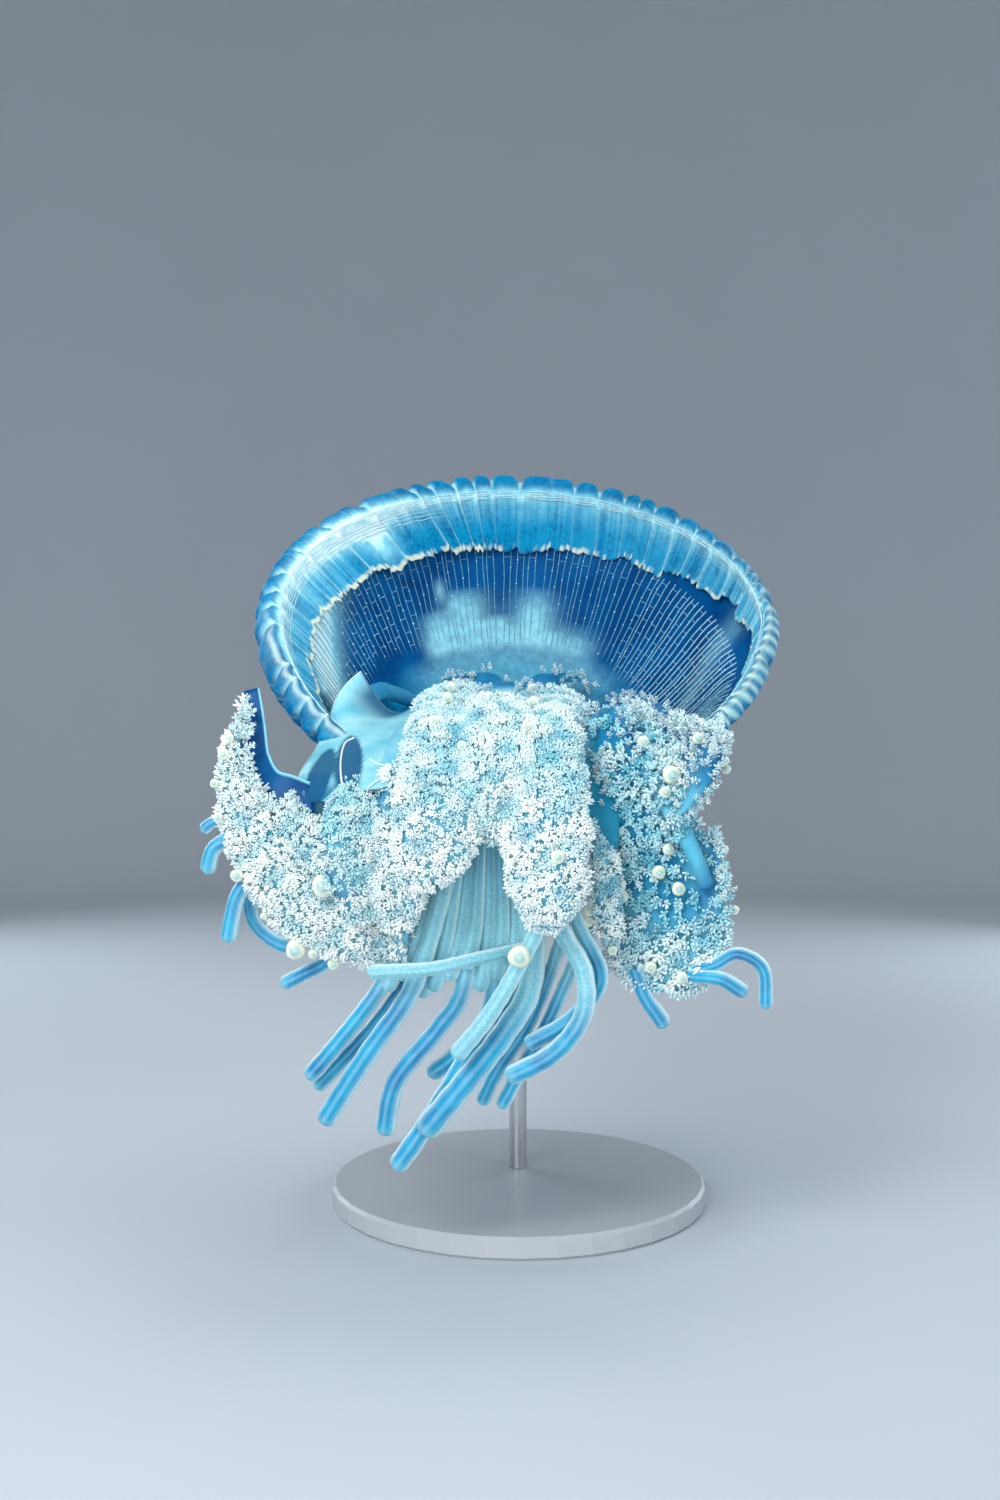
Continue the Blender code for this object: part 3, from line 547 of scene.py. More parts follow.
def flesh_paint():
    """Smooth pale stalks that turn to shadowed teal under the frills."""
    paint = Paint("arm_flesh", 0.40, specular=0.15)
    mottle = paint.fit(paint.noise(34.0, 5.0), 0.3, 0.7)
    pale = paint.mix(mottle, CYAN, MILK)
    under = paint.mix(mottle, (0.004, 0.24, 0.42), (0.03, 0.42, 0.58))
    shade = paint.mix(paint.value("pale"), under, pale)
    paint.colour(paint.mix(paint.value("deep"), shade, BLUE))
    paint.bump(paint.noise(300.0, 3.0), 0.25, 0.0006)
    paint.sheen(0.15, 0.35, MILK)
    return paint.material


def frill_paint():
    """Branching frills, white at the tips and teal at the root, the teal being painted shade down among the
    twigs.
    """
    paint = Paint("frills", 0.60, specular=0.12)
    clump = paint.fit(paint.noise(75.0, 4.0, 0.6), 0.34, 0.62)
    # Painted shade: tip runs from 0 at a tuft's root to 1 at its tips, so each tuft is teal low down and
    # white above.
    tips = paint.fit(paint.value("tip"), 0.0, 0.6)
    milky = paint.mix(clump, (0.07, 0.43, 0.58), (0.36, 0.74, 0.81))
    white = paint.mix(paint.value("chalk"), milky, (0.90, 0.98, 0.97))
    shade = paint.mix(clump, (0.01, 0.30, 0.46), (0.16, 0.60, 0.72))
    paint.colour(paint.mix(paint.math("MAXIMUM", tips, paint.value("chalk")), shade, white))
    paint.sheen(0.2, 0.4, MILK)
    return paint.material


def veil_paint():
    """Clear pale skin with deep blue windows, painted shade along its top, and white lines."""
    paint = Paint("veil", 0.36, specular=0.08, alpha=0.97)
    base = paint.mottled((0.12, 0.50, 0.63), (0.40, 0.74, 0.80), 40.0)
    base = paint.mix(paint.value("deep"), base, (0.0003, 0.08, 0.20))
    paint.colour(paint.mix(paint.value("edge"), base, WHITE))
    paint.bump(paint.noise(260.0, 3.0), 0.2, 0.0005)
    paint.sheen(0.12, 0.3, MILK)
    return paint.material


def film_paint():
    """The clear dark film by the horn, with a bright border."""
    paint = Paint("film", 0.30, specular=0.1, alpha=0.96)
    base = paint.mottled((0.0005, 0.045, 0.17), (0.0005, 0.09, 0.26), 40.0)
    paint.colour(paint.mix(paint.value("edge"), base, (0.30, 0.75, 0.88)))
    return paint.material


def filament_core_paint():
    """The canal inside a filament."""
    paint = Paint("filament_core", 0.40, specular=0.3)
    base = paint.mottled(BLUE, TEAL, 120.0)
    base = paint.mix(paint.value("canal"), base, CYAN)
    paint.colour(paint.mix(paint.value("milk"), base, MILK))
    return paint.material


def filament_sheath_paint():
    """A filament's clear wall: milky near its root, blue further down, with pale lines and painted highlights
    along its edges.
    """
    paint = Paint("filament_sheath", 0.26, specular=0.16, alpha=0.94)
    grain = paint.fit(paint.noise(900.0, 3.0), 0.30, 0.72)
    body = paint.mottled((0.001, 0.16, 0.38), (0.004, 0.40, 0.64), 45.0)
    milky = paint.mix(grain, (0.12, 0.42, 0.53), (0.28, 0.62, 0.71))
    base = paint.mix(paint.value("milk"), body, milky)
    # Painted highlights: the strongest lines sit on each tube's two sides as seen from the front.
    lines = paint.math("MULTIPLY", paint.value("stripe"), paint.fit(grain, 0.0, 1.0, 0.65, 1.0))
    base = paint.mix(lines, base, (0.76, 0.99, 1.0))
    paint.colour(paint.mix(paint.math("MULTIPLY", paint.value("tip"), 0.5), base, (0.30, 0.66, 0.74)))
    paint.bump(paint.noise(600.0, 2.0), 0.3, 0.0004)
    paint.sheen(0.9, 0.18, (0.45, 0.93, 1.0))
    return paint.material


def vesicle_paint():
    """Cream bladders with a darker yolk; the cream ring at each one's outline, as seen from the front, is a
    painted bright edge.
    """
    paint = Paint("vesicle", 0.30, specular=0.35)
    yolk = paint.mottled((0.34, 0.56, 0.55), (0.55, 0.68, 0.58), 220.0, 3.0)
    # Painted highlight: rim is 1 on the outline seen from the front, so the shell is cream there and
    # yolk-coloured in its middle.
    rim = paint.fit(paint.value("rim"), 0.45, 0.75)
    paint.colour(paint.mix(rim, yolk, (0.86, 0.88, 0.70)))
    paint.sheen(0.5, 0.3, (0.95, 0.95, 0.80))
    return paint.material


def stand_paints():
    """Satin grey paint for the base and brushed steel for the rod and cradle."""
    plate = Paint("stand_satin_paint", 0.42, specular=0.5)
    plate.colour(plate.mix(plate.noise(600.0, 2.0), (0.40, 0.43, 0.46), (0.44, 0.47, 0.50)))
    plate.bump(plate.noise(1800.0, 2.0), 0.12, 0.0002)
    steel = Paint("stand_satin_steel", 0.28, specular=0.5, metallic=1.0)
    steel.colour(steel.mix(steel.noise(300.0, 3.0), (0.52, 0.53, 0.55), (0.62, 0.63, 0.65)))
    steel.set("Anisotropic", 0.4)
    return plate.material, steel.material


# ---- Bell --------------------------------------------------------------------------
# Where the columns of the skin stand across one lappet, from cleft to cleft.
ACROSS_LAPPET = np.array([0.0, 0.04, 0.10, 0.18, 0.27, 0.36, 0.45, 0.55, 0.64, 0.73, 0.82, 0.90, 0.96])
INNER_CURVE = spline(((0.0, FLOOR_INSIDE), *SUBUMBRELLA, (0.865, RIM_HEIGHT)), 12)
# Shares of the way from the rim over the fold to the lappets' tips.
SHEET_ROWS = np.concatenate([np.linspace(0.14, 0.5, 12, endpoint=False), np.linspace(0.5, 1.0, 32)])
ROW = SHEET_ROWS[:, None]
BAND_AT, BAND_HALF = 0.71, 0.036
CURTAIN = smooth_step(BAND_AT - 0.02, BAND_AT + 0.05, ROW)
BULGE = smooth_step(0.28, 0.46, ROW) * (1 - smooth_step(BAND_AT - 0.10, BAND_AT, ROW))
# Every second row of the margin's inside, from the tips back to the rim.
INNER_ROWS = slice(None, 8, -2)
CLEFT_WIDTH = 0.055

LAPPET_LONGER = RNG.normal(0.0, 0.012, LAPPETS)
CLEFT_DEPTH = np.where(RNG.uniform(0, 1, LAPPETS) < 0.25, 0.12, RNG.uniform(0.7, 1.0, LAPPETS))

# Tables round the bell, by azimuth in degrees.
LAPPET_LEAN = ((0, 0.0), (12, -0.30), (28, -1.3), (60, -1.2), (85, -0.5), (120, 0.0), (200, 0.0),
               (262, -0.9), (285, -0.7), (306, 0.1), (335, -0.5), (360, 0.0))
LOW_SIDES = ((0, 0.0), (96, 0.0), (112, 1.0), (150, 0.9), (170, 0.2), (225, 0.2), (240, 0.7),
             (262, 0.7), (290, 0.45), (320, 0.0), (360, 0.0))
CLEFT_WHITE = ((0, 0.12), (10, 0.2), (22, 0.9), (70, 0.9), (110, 0.6), (130, 0.3), (250, 0.3),
               (262, 0.9), (300, 0.8), (330, 0.35), (345, 0.15), (360, 0.12))
BAND_BRIGHT = ((0, 1.05), (30, 1.2), (42, 1.9), (62, 1.9), (85, 1.5), (112, 1.0), (160, 0.4),
               (230, 0.4), (262, 1.0), (300, 0.9), (330, 0.8), (345, 0.95), (360, 1.05))
BAND_WIDER = ((0, 1), (30, 1.1), (45, 1.7), (110, 1.6), (130, 1), (250, 1), (280, 1.3), (360, 1))
CURTAIN_MILK = ((0, 0.0), (55, 0.0), (80, 0.35), (110, 0.3), (150, 0.0), (230, 0.0), (262, 0.65),
                (285, 0.45), (310, 0.1), (360, 0.0))
SLIT_SHELL = ((0, 0.0), (215, 0.0), (235, 1.0), (264, 1.0), (285, 0.3), (300, 0.0), (360, 0.0))
TOP_TEAL = ((0, 0.2), (30, 0.1), (60, 0.0), (300, 0.0), (335, 0.1), (360, 0.2))
RIB_ENDS = ((0, 0.60), (7, 0.59), (50, 0.64), (90, 0.66), (130, 0.62), (180, 0.58), (250, 0.58),
            (304, 0.59), (329, 0.61), (352, 0.60), (360, 0.60))
THREADS_SHOWN = ((22, 0.0), (34, 1.0), (100, 1.0), (116, 0.0), (268, 0.0), (280, 0.6), (300, 0.6), (315, 0.0))


def drawn_in(azimuth):
    """How far the bell's near right side is pinched in, in bell radii."""
    far, left = np.cos(azimuth), np.sin(azimuth)
    return np.where((far < 0) & (left < 0), PINCH * far * left, 0.0)


def pinched(azimuth, radius):
    share = np.maximum(radius - PINCH_FROM, 0.0) / (PINCH_TO - PINCH_FROM)
    return radius - drawn_in(azimuth) * share


def inside_bell(azimuth, radius, proud=0.0):
    """World points on the bell's inner surface, proud of it by some bell radii."""
    azimuth, radius = np.broadcast_arrays(azimuth, radius)
    height = np.interp(radius, INNER_CURVE[:, 0], INNER_CURVE[:, 1])
    slope = np.interp(radius + 0.01, INNER_CURVE[:, 0], INNER_CURVE[:, 1]) - height
    lift = unit(np.stack([-slope, np.full_like(slope, 0.01)], -1)) * proud
    return on_bell(azimuth, pinched(azimuth, radius) + lift[..., 0], height + lift[..., 1])


def margin_stations(azimuth, crest, longer=0.0):
    """Six (radius, height) points from the rim over the fold to the lappet's tip."""
    far, left = np.cos(azimuth), np.sin(azimuth)
    fold = FOLD_LOW + FOLD_RISE * smooth_step(0.0, 0.9, far + 0.2 * left + 0.85)
    pinch = drawn_in(azimuth)
    swell = SWELL * (crest - 0.6) - pinch
    drop = 0.06 + np.hypot(0.17 * np.maximum(far, 0.0), 0.11 * np.maximum(left, 0.0))
    over = np.stack([0.925 + 0.8 * swell, fold + 0.03 + 0.4 * (swell + pinch)], -1)
    tip = np.stack([0.83 - 0.03 * far - 0.05 * left - pinch, fold - drop], -1)
    tip = tip + unit(tip - over) * (np.zeros_like(fold) + longer)[..., None]
    root = np.stack([MARGIN_ROOT_RADIUS - pinch, np.full_like(fold, RIM_HEIGHT)], -1)
    first = np.stack([0.950 + swell, 0.30 * fold], -1)
    second = np.stack([0.968 + swell, 0.80 * fold], -1)
    middle = (over + tip) / 2 + np.array([0.012, 0.010])
    return np.stack([root, first, second, over, middle, tip])


def margin_sheet(azimuth, crest, rows, longer=0.0):
    """Points, outward directions and directions to the tip, for each row and azimuth."""
    line = spline(margin_stations(azimuth, crest, longer), 12)
    at = np.linspace(0.0, 1.0, len(line))
    points = np.stack([resampled(line[:, i], at, rows) for i in range(line.shape[1])], 1)
    tangent = unit(np.gradient(points, axis=0))
    return points, np.stack([tangent[..., 1], -tangent[..., 0]], -1), tangent


def lappet_lean(azimuth, row):
    """How far the lappets lean over sideways below the fold, as an angle."""
    lean = from_table(np.degrees(azimuth) % 360, LAPPET_LEAN)
    return lean * LAPPET_TURN * np.clip((row - 0.5) / 0.5, 0.0, 1.0) ** 1.3


def column_noise(columns, size):
    """Random values 0 to 1 round the bell, smooth over some columns."""
    values = RNG.uniform(0, 1, columns)
    kernel = np.ones(size) / size
    looped = np.concatenate([values, values[:size]])
    smooth = np.convolve(looped, kernel, mode="valid")[:columns]
    return np.clip(0.5 + (smooth - smooth.mean()) / (4 * smooth.std()), 0, 1)


Columns = namedtuple("Columns", "azimuth degrees across nearest dome cleft longer streaks leftward low_sides")


def lappet_columns():
    """The skin's columns round the bell: where they stand and how each differs."""
    lappet = np.repeat(np.arange(LAPPETS), len(ACROSS_LAPPET))
    across = np.tile(ACROSS_LAPPET, LAPPETS)
    azimuth = (lappet + across) * LAPPET_TURN
    azimuth = azimuth + 0.026 * np.sin(7 * azimuth + 0.6) + 0.014 * np.sin(17 * azimuth)
    degrees, columns = np.degrees(azimuth), len(azimuth)
    nearest = np.where(across < 0.5, CLEFT_DEPTH[lappet], CLEFT_DEPTH[(lappet + 1) % LAPPETS])
    sideways = smooth_step(8.0, 30.0, turned_apart(degrees, 0.0))
    outward = np.where(azimuth < math.pi, across, 1 - across) ** (1 + 0.9 * sideways)
    dome = 1.0 - nearest * np.abs(2 * outward - 1) ** 2.8
    cleft = nearest * np.exp(-(np.minimum(across, 1 - across) / CLEFT_WIDTH) ** 2)
    ragged = 0.020 * (column_noise(columns, 5) - 0.5) + 0.014 * (column_noise(columns, 2) - 0.5)
    longer = LAPPET_LONGER[lappet] + ragged - 0.010 * cleft
    streaks = [column_noise(columns, size) for size in (1, 2, 4, 1)]
    leftward = smooth_step(8.0, 20.0, turned_apart(degrees, 0.0))
    return Columns(azimuth, degrees, across, nearest, dome, cleft, longer, streaks, leftward,
                   from_table(degrees, LOW_SIDES))


def margin_relief(c):
    """How far the margin's outside stands out at each row and column, in bell radii."""
    step = (c.across - 0.5) * np.where(c.azimuth < math.pi, -1.0, 1.0)
    lappets = BULGE * 0.015 * (c.dome - 0.8) * (1 - 0.9 * c.low_sides)
    lappets = lappets + CURTAIN * (0.004 + 0.008 * c.leftward) * (c.dome - 0.8)
    overlap = CURTAIN * (0.003 + 0.010 * c.leftward) * step
    fibres = 0.0012 * CURTAIN * (c.streaks[0] - 0.5)
    return lappets + overlap + fibres + 0.006 * bump_at(ROW, BAND_AT, BAND_HALF * 0.8)


def margin_marks(c):
    """How teal, milky and cream the margin's outside is at each row and column, with a painted glow along
    each dome's sides.
    """
    fine = (1 - ROW) * c.streaks[0] + ROW * c.streaks[3]
    tip_edge = smooth_step(0.968, 0.992, ROW) * smooth_step(0.45, 0.75, c.streaks[1] + 0.25 * c.leftward)
    arcs = c.cleft ** 2 * smooth_step(0.40, 0.50, ROW) * from_table(c.degrees, CLEFT_WHITE)
    arcs = np.maximum(arcs, 0.55 * c.cleft * BULGE)
    brightness = from_table(c.degrees, BAND_BRIGHT)
    wide = BAND_HALF * from_table(c.degrees, BAND_WIDER)
    band = bump_at(ROW, BAND_AT, wide) * brightness * (0.70 + 0.5 * fine)
    under = bump_at(ROW, BAND_AT + 0.07, 0.06) * 0.45 * fine * brightness
    smear = 0.9 * bump_at(c.degrees, 50.0, 5.0) * CURTAIN * (1 - smooth_step(0.86, 1.0, ROW))
    smear = smear + 1.5 * bump_at(c.degrees, 58.0, 11.0) * bump_at(ROW, 0.745, 0.065) * (0.6 + 0.5 * fine)
    sides = from_table(c.degrees, CURTAIN_MILK) * CURTAIN * fine * 1.4
    # Painted light: the first term is a pale glow along each dome's sides by the clefts, where the lit edge
    # of the dome shows; the terms added below put a pale line along the fold's crest, ribbons on the low
    # sides and slits in the shell.
    rim_glow_and_ribbons = (0.50 - 0.4 * c.low_sides) * BULGE * c.nearest * np.abs(2 * c.across - 1) ** 9
    rim_glow_and_ribbons = rim_glow_and_ribbons + 0.12 * bump_at(ROW, 0.50, 0.035) * BULGE
    ribbons = bump_at(ROW, 0.57, 0.030) + 0.5 * bump_at(ROW, 0.30, 0.016)
    rim_glow_and_ribbons = rim_glow_and_ribbons + 0.42 * c.low_sides * ribbons * (0.5 + 0.6 * c.streaks[2])
    shell = from_table(c.degrees, SLIT_SHELL) * BULGE
    slits = (0.5 + 0.5 * np.sin(c.azimuth * LAPPETS * 2.0 + 16.0 * ROW)) ** 2
    rim_glow_and_ribbons = rim_glow_and_ribbons + shell * (0.05 + 0.8 * slits)
    teal = 0.45 + 0.75 * CURTAIN * fine + 0.30 * c.streaks[2] * CURTAIN
    teal = teal + from_table(c.degrees, TOP_TEAL) * BULGE
    cream = 0.3 * arcs + tip_edge + 0.4 * c.low_sides * ribbons + 0.3 * shell * slits
    return (teal, np.clip(band + under + smear + sides + rim_glow_and_ribbons + arcs, 0, 1.5), np.clip(cream, 0, 1),
            tip_edge[-1])


def bell_skin(material):
    """Crown, outer wall, folded margin and inner wall as one closed surface."""
    c = lappet_columns()
    outer_curve = spline((*reversed(CROWN_OUTLINE), *EXUMBRELLA, (0.870, -0.155), (0.925, RIM_HEIGHT)), 3)[1:]
    lining_curve = INNER_CURVE[:0:-3]
    line, out, along = margin_sheet(c.azimuth, c.dome, SHEET_ROWS, c.longer)
    half = 0.0035 + 0.0055 * (1 - smooth_step(0.2, 1.0, ROW)) + 0.017 * (1 - smooth_step(0.10, 0.32, ROW))
    relief = margin_relief(c)
    outer = line + out * (half + relief)[..., None]
    inner = (line - out * (half - relief * 0.8)[..., None])[INNER_ROWS]
    nose = (line[-1] + out[-1] * relief[-1][..., None] + along[-1] * 0.004)[None]
    groove = 0.010 * c.cleft * smooth_step(0.55, 0.9, outer_curve[:, :1])
    wall = np.stack([pinched(c.azimuth, outer_curve[:, :1]) - groove, outer_curve[:, 1:] + 0.5 * groove], -1)
    lining = pinched(c.azimuth, lining_curve[:, :1])
    lining = np.stack([lining, np.broadcast_to(lining_curve[:, 1:], lining.shape)], -1)

    regions = (wall, outer, nose, inner, lining)
    rows = np.concatenate(regions)
    ends = np.cumsum([len(region) for region in regions])
    for _ in range(3):
        for joint in (ends[0], ends[3]):
            band = slice(joint - 4, joint + 4)
            rows[band] = (rows[joint - 5:joint + 3] + rows[joint - 3:joint + 5]) / 2

    def by_region(*parts):
        return np.concatenate([np.broadcast_to(part, region.shape[:2])
                               for part, region in zip(parts, regions)])

    leaning = c.azimuth + lappet_lean(c.azimuth, ROW)
    turn = by_region(c.azimuth, leaning, leaning[-1], leaning[INNER_ROWS], c.azimuth)
    teal, milk, cream, tip_cream = margin_marks(c)
    lining_radius = lining_curve[:, :1]
    values = {
        "canal": by_region(c.cleft * smooth_step(0.4, 0.6, outer_curve[:, :1]), 0.0, 0.0, 0.0, 0.0),
        "teal": by_region(0.30, teal, 0.7, 0.3, 0.9 * (1 - smooth_step(0.50, 0.63, lining_radius))),
        "milk": by_region(0.0, milk, 0.2, 0.1, lining_milk(c.degrees, lining_radius)),
        "cream": by_region(0.0, cream, tip_cream, 0.0, 0.0),
        "outside": by_region(1.0, 1.0 - smooth_step(0.2, 0.5, ROW), 0.0, 0.0, 0.0),
    }
    poles = bell_to_world(((0, 0, CROWN_OUTLINE[-1][1]), (0, 0, FLOOR_INSIDE)))
    verts, faces = closed_rings(on_bell(turn, rows[..., 0], rows[..., 1]), poles)
    values = {name: np.append(v.ravel(), (v.ravel()[0], v.ravel()[-1])) for name, v in values.items()}
    piece("bell_skin", verts, faces[:, ::-1], material,
          ("bell", "bell_crown", *(f"margin_{number}" for number in range(1, 9))), values)


def crown_warts(material):
    """Rounded warts on the crown, spaced by the golden angle, biggest in the middle."""
    sides, outline, crown, parts = 24, np.array(WART_OUTLINE), np.array(CROWN_OUTLINE)[::-1], []
    turn = np.linspace(0, 2 * math.pi, sides, endpoint=False)
    for number in range(WARTS):
        radius = WART_REACH * math.sqrt((number + 0.3) / WARTS)
        azimuth = number * GOLDEN_ANGLE
        middle = (radius * math.cos(azimuth), radius * math.sin(azimuth))
        foot = np.interp(radius, crown[:, 0], crown[:, 1])
        wide = WART_BASE * (1 + 0.06 * np.sin(3 * turn + number))
        height = WART_HEIGHT * (1.0 - 0.35 * radius / WART_REACH)
        rings = np.stack([middle[0] + outline[:, :1] * wide * np.cos(turn),
                          middle[1] + outline[:, :1] * wide * np.sin(turn),
                          foot + 0.012 - outline[:, 1:] * height * np.ones(sides)], -1)
        poles = bell_to_world(((*middle, foot + 0.02), (*middle, foot + 0.012 - height)))
        verts, faces = closed_rings(bell_to_world(rings), poles)
        rise = np.append(np.repeat(outline[:, 1], sides), (0.0, 1.0))
        parts.append((verts, faces, {
            "canal": 0 * rise, "teal": 0.3 + 0.5 * rise, "milk": 0.55 * smooth_step(0.6, 1.0, rise),
            "cream": 0 * rise, "outside": 1 + 0 * rise}))
    joined_piece("crown_warts", parts, material)


# Milky lobes of the lining: azimuth and width in degrees, and how far out each reaches.
MILK_LOBES = ((31.0, 5.0, 0.67), (19.0, 7.0, 0.70), (8.0, 4.0, 0.655), (354.0, 6.5, 0.695))
# Small milky spots by azimuth in degrees and radius.
MILK_SPOTS = ((27.0, 0.745), (23.0, 0.715))


def lining_milk(degrees, radius):
    """Where the inside of the bell is milky: 0 clear, 1 milky, more than 1 white."""
    def near(at, width):
        return bump_at(turned_apart(degrees, at), 0.0, width)

    def arc(right_out, right_in, left_in, left_out):
        turned = turned_apart(degrees, 0.0)
        return smooth_step(right_out, right_in, turned) * (1 - smooth_step(left_in, left_out, turned))

    milk = 0.0
    for at, width, top in MILK_LOBES:
        milk = milk + (0.9 * near(at, width) * smooth_step(0.595, 0.625, radius)
                       * (1 - smooth_step(top, top + 0.03, radius)))
    milk = milk + 0.75 * arc(-38.0, -22.0, 28.0, 42.0) * bump_at(radius, 0.622, 0.030)
    for at, where in MILK_SPOTS:
        milk = milk + 0.7 * near(at, 1.6) * bump_at(radius, where, 0.014)
    right = 282.0 - 9.5 * smooth_step(0.0, 0.25, 0.84 - radius)
    milk = milk + 0.28 * near(right, 4.0) * smooth_step(0.56, 0.66, radius)
    milk = milk + 0.34 * arc(-60.0, -30.0, 34.0, 60.0) * (1 - smooth_step(0.575, 0.605, radius))
    left_band = 1.9 * near(80.0 + 150.0 * (0.80 - radius), 11.0) * smooth_step(0.60, 0.72, radius)
    return np.clip(np.minimum(milk, 0.88) + left_band, 0.0, 1.3)


RIB_PAIRS, RIB_STATIONS, RIB_GAP, RIB_START = 84, 44, 1.07, 0.868
DOT_START, DOT_STEP, RUNG_STEP, RUNG_RADIUS = 0.86, 0.05, 0.030, 0.28 * MM
SHADED_FROM, SHADED_TO, SHADED_BRIGHT = 115, 262, 0.45


def bell_ribs(material):
    """Pairs of raised lines with rungs and staggered dots on the bell's inside."""
    pair = np.arange(RIB_PAIRS) * (360.0 / RIB_PAIRS) + RNG.normal(0, 0.35, RIB_PAIRS)
    station = np.arange(RIB_STATIONS)
    fade = smooth_step(0, 4, station) * smooth_step(0, 6, station[::-1])
    routes, radii, bright = [], [], []
    dots, dot_radii, dot_bright = [], [], []
    rungs, rung_bright = [], []
    for number, middle in enumerate(pair):
        end = from_table(middle % 360, RIB_ENDS) + RNG.normal(0, 0.012)
        radius = np.linspace(RIB_START, end, RIB_STATIONS)
        right = smooth_step(25.0, 80.0, turned_apart(360.0 - middle, 0.0))
        bend = 7.0 * right * ((0.87 - radius) / 0.3) ** 1.4
        near = 1.0 if middle < SHADED_FROM or middle > SHADED_TO else SHADED_BRIGHT
        for hand in (-1, 1):
            wave = 0.10 * np.sin(radius * 60.0 + number * 2.1 + hand)
            at = np.radians(middle + bend + hand * RIB_GAP + wave)
            routes.append(inside_bell(at, radius, 0.0012))
            radii.append((0.30 + 0.22 * right) * MM * fade + 0.04 * MM)
            bright.append(np.full(RIB_STATIONS, near * (0.22 + 0.45 * right)))
            phase = ((number * 2 + (hand > 0)) % 3) / 3.0
            dot_at = np.arange(DOT_START - phase * DOT_STEP, end + 0.01, -DOT_STEP)
            pick = np.interp(dot_at, radius[::-1], at[::-1])
            dots.append(inside_bell(pick, dot_at, 0.003))
            dot_radii.append(RNG.uniform(0.5, 0.85, len(dot_at)) * MM)
            dot_bright.append(np.full(len(dot_at), near * 0.9))
        net = max(right, float(smooth_step(30.0, 50.0, turned_apart(middle, 0.0))))
        rung_at = np.arange(DOT_START, end + 0.02, -RUNG_STEP) if net > 0.2 else np.array([0.8])
        turn = np.radians(middle + np.interp(rung_at, radius[::-1], bend[::-1]))
        spread = np.radians(1.0) * np.linspace(-1, 1, 3)
        rungs.append(inside_bell(turn[:, None] + spread, rung_at[:, None] + 0.004 * spread, 0.001))
        rung_bright.append(np.full(len(rung_at), near * (0.2 + 0.4 * net)))
    verts, faces, row = tube_mesh(routes, radii)
    lines = (verts, faces, {"bright": np.array(bright).ravel()[row]})
    verts, faces, row = tube_mesh(np.concatenate(rungs), RUNG_RADIUS, 3)
    ladder = (verts, faces, {"bright": np.repeat(np.concatenate(rung_bright), 3)[row]})
    verts, faces = beads(np.concatenate(dots), np.concatenate(dot_radii))
    spots = (verts, faces, {"bright": np.repeat(np.concatenate(dot_bright), 6)})
    joined_piece("bell_ribs", (lines, ladder, spots), material)


THREAD_ROWS = (0.690, 0.702, 0.714, 0.726, 0.742, 0.760, 0.780, 0.802)
THREAD_LAST_WHOLE, THREAD_RADIUS = 0.73, 0.42 * MM


def ring_threads(material):
    """Fine wavy fibres along the pale band below the fold."""
    azimuth = np.linspace(0, 2 * math.pi, 8 * LAPPETS, endpoint=False)
    routes, radii, bright = [], [], []
    for number, at in enumerate(THREAD_ROWS):
        line, out, _ = margin_sheet(azimuth, np.full_like(azimuth, 0.8), np.array([at - 0.01, at, at + 0.01]))
        wave = 0.12 * np.sin(azimuth * (23 + 6 * number) + 2 * number)
        proud = 0.0105 + 0.003 * bump_at(at, BAND_AT, BAND_HALF)
        spot = line[1] + out[1] * proud + (line[2] - line[0]) * wave[:, None]
        loop = on_bell(azimuth + lappet_lean(azimuth, at), spot[:, 0], spot[:, 1])
        whole = at < THREAD_LAST_WHOLE
        shown = np.ones(len(loop)) if whole else from_table(np.degrees(azimuth), THREADS_SHOWN)
        routes.append(np.concatenate([loop, loop[:1]]))
        radii.append(np.append(shown, shown[:1]) * THREAD_RADIUS)
        bright.append(np.full(len(loop) + 1, 0.8 if whole else 0.6))
    verts, faces, row = tube_mesh(routes, np.maximum(radii, 0.02 * MM))
    piece("ring_threads", verts, faces, material,
          values={"bright": np.array(bright).ravel()[row]})


# ---- Arms --------------------------------------------------------------------------
COAT_DEPTH = 4.5 * MM
SKIN_VOXEL = 2.2 * MM
RING_SPACING, BLUNT_TIP = 3.0 * MM, 3.0 * MM
THINNEST_HALF = 1.5 * MM
# Spots as seen from the front, in mm.
Spot = namedtuple("Spot", "x z wide high")
SLOTS = (Spot(-112, 249, 4, 7), Spot(-105, 236, 4, 7), Spot(-98, 223, 4, 7), Spot(-77, 274, 4, 8))
BARE_SPOTS = (Spot(78, 222, 23, 15), Spot(108, 294, 20, 20), Spot(68, 304, 13, 16), Spot(-6, 338, 26, 10),
              Spot(102, 230, 8, 20), Spot(48, 304, 11, 17), Spot(56, 320, 15, 22), *SLOTS)
DEEP_SPOTS = (Spot(110, 292, 20, 18), Spot(64, 226, 6, 8), Spot(103, 222, 7, 12), Spot(106, 240, 5, 10),
              Spot(66, 310, 9, 16), *SLOTS)
MOUND_WAVES = np.array([(310, 90, 160), (-150, 260, 220), (90, -280, 300), (240, 170, -330)], dtype=float)

# How milky and how deep blue an arm's skin is; the rest is at PLAIN_TONE.
PLAIN_TONE = (0.55, 0.0)
EVEN_TONES = {
    "web_crest_left": (0.95, 0.0), "web_crest_right": (0.95, 0.0), "web_middle": (0.95, 0.0),
    "web_right": (0.05, 0.15), "web_right_tube": (0.25, 0.0), "arm_back_left": (0.0, 0.6),
    "arm_back_right": (0.0, 0.6), "arm_left_lower_crescent": (0.8, 0.0)}
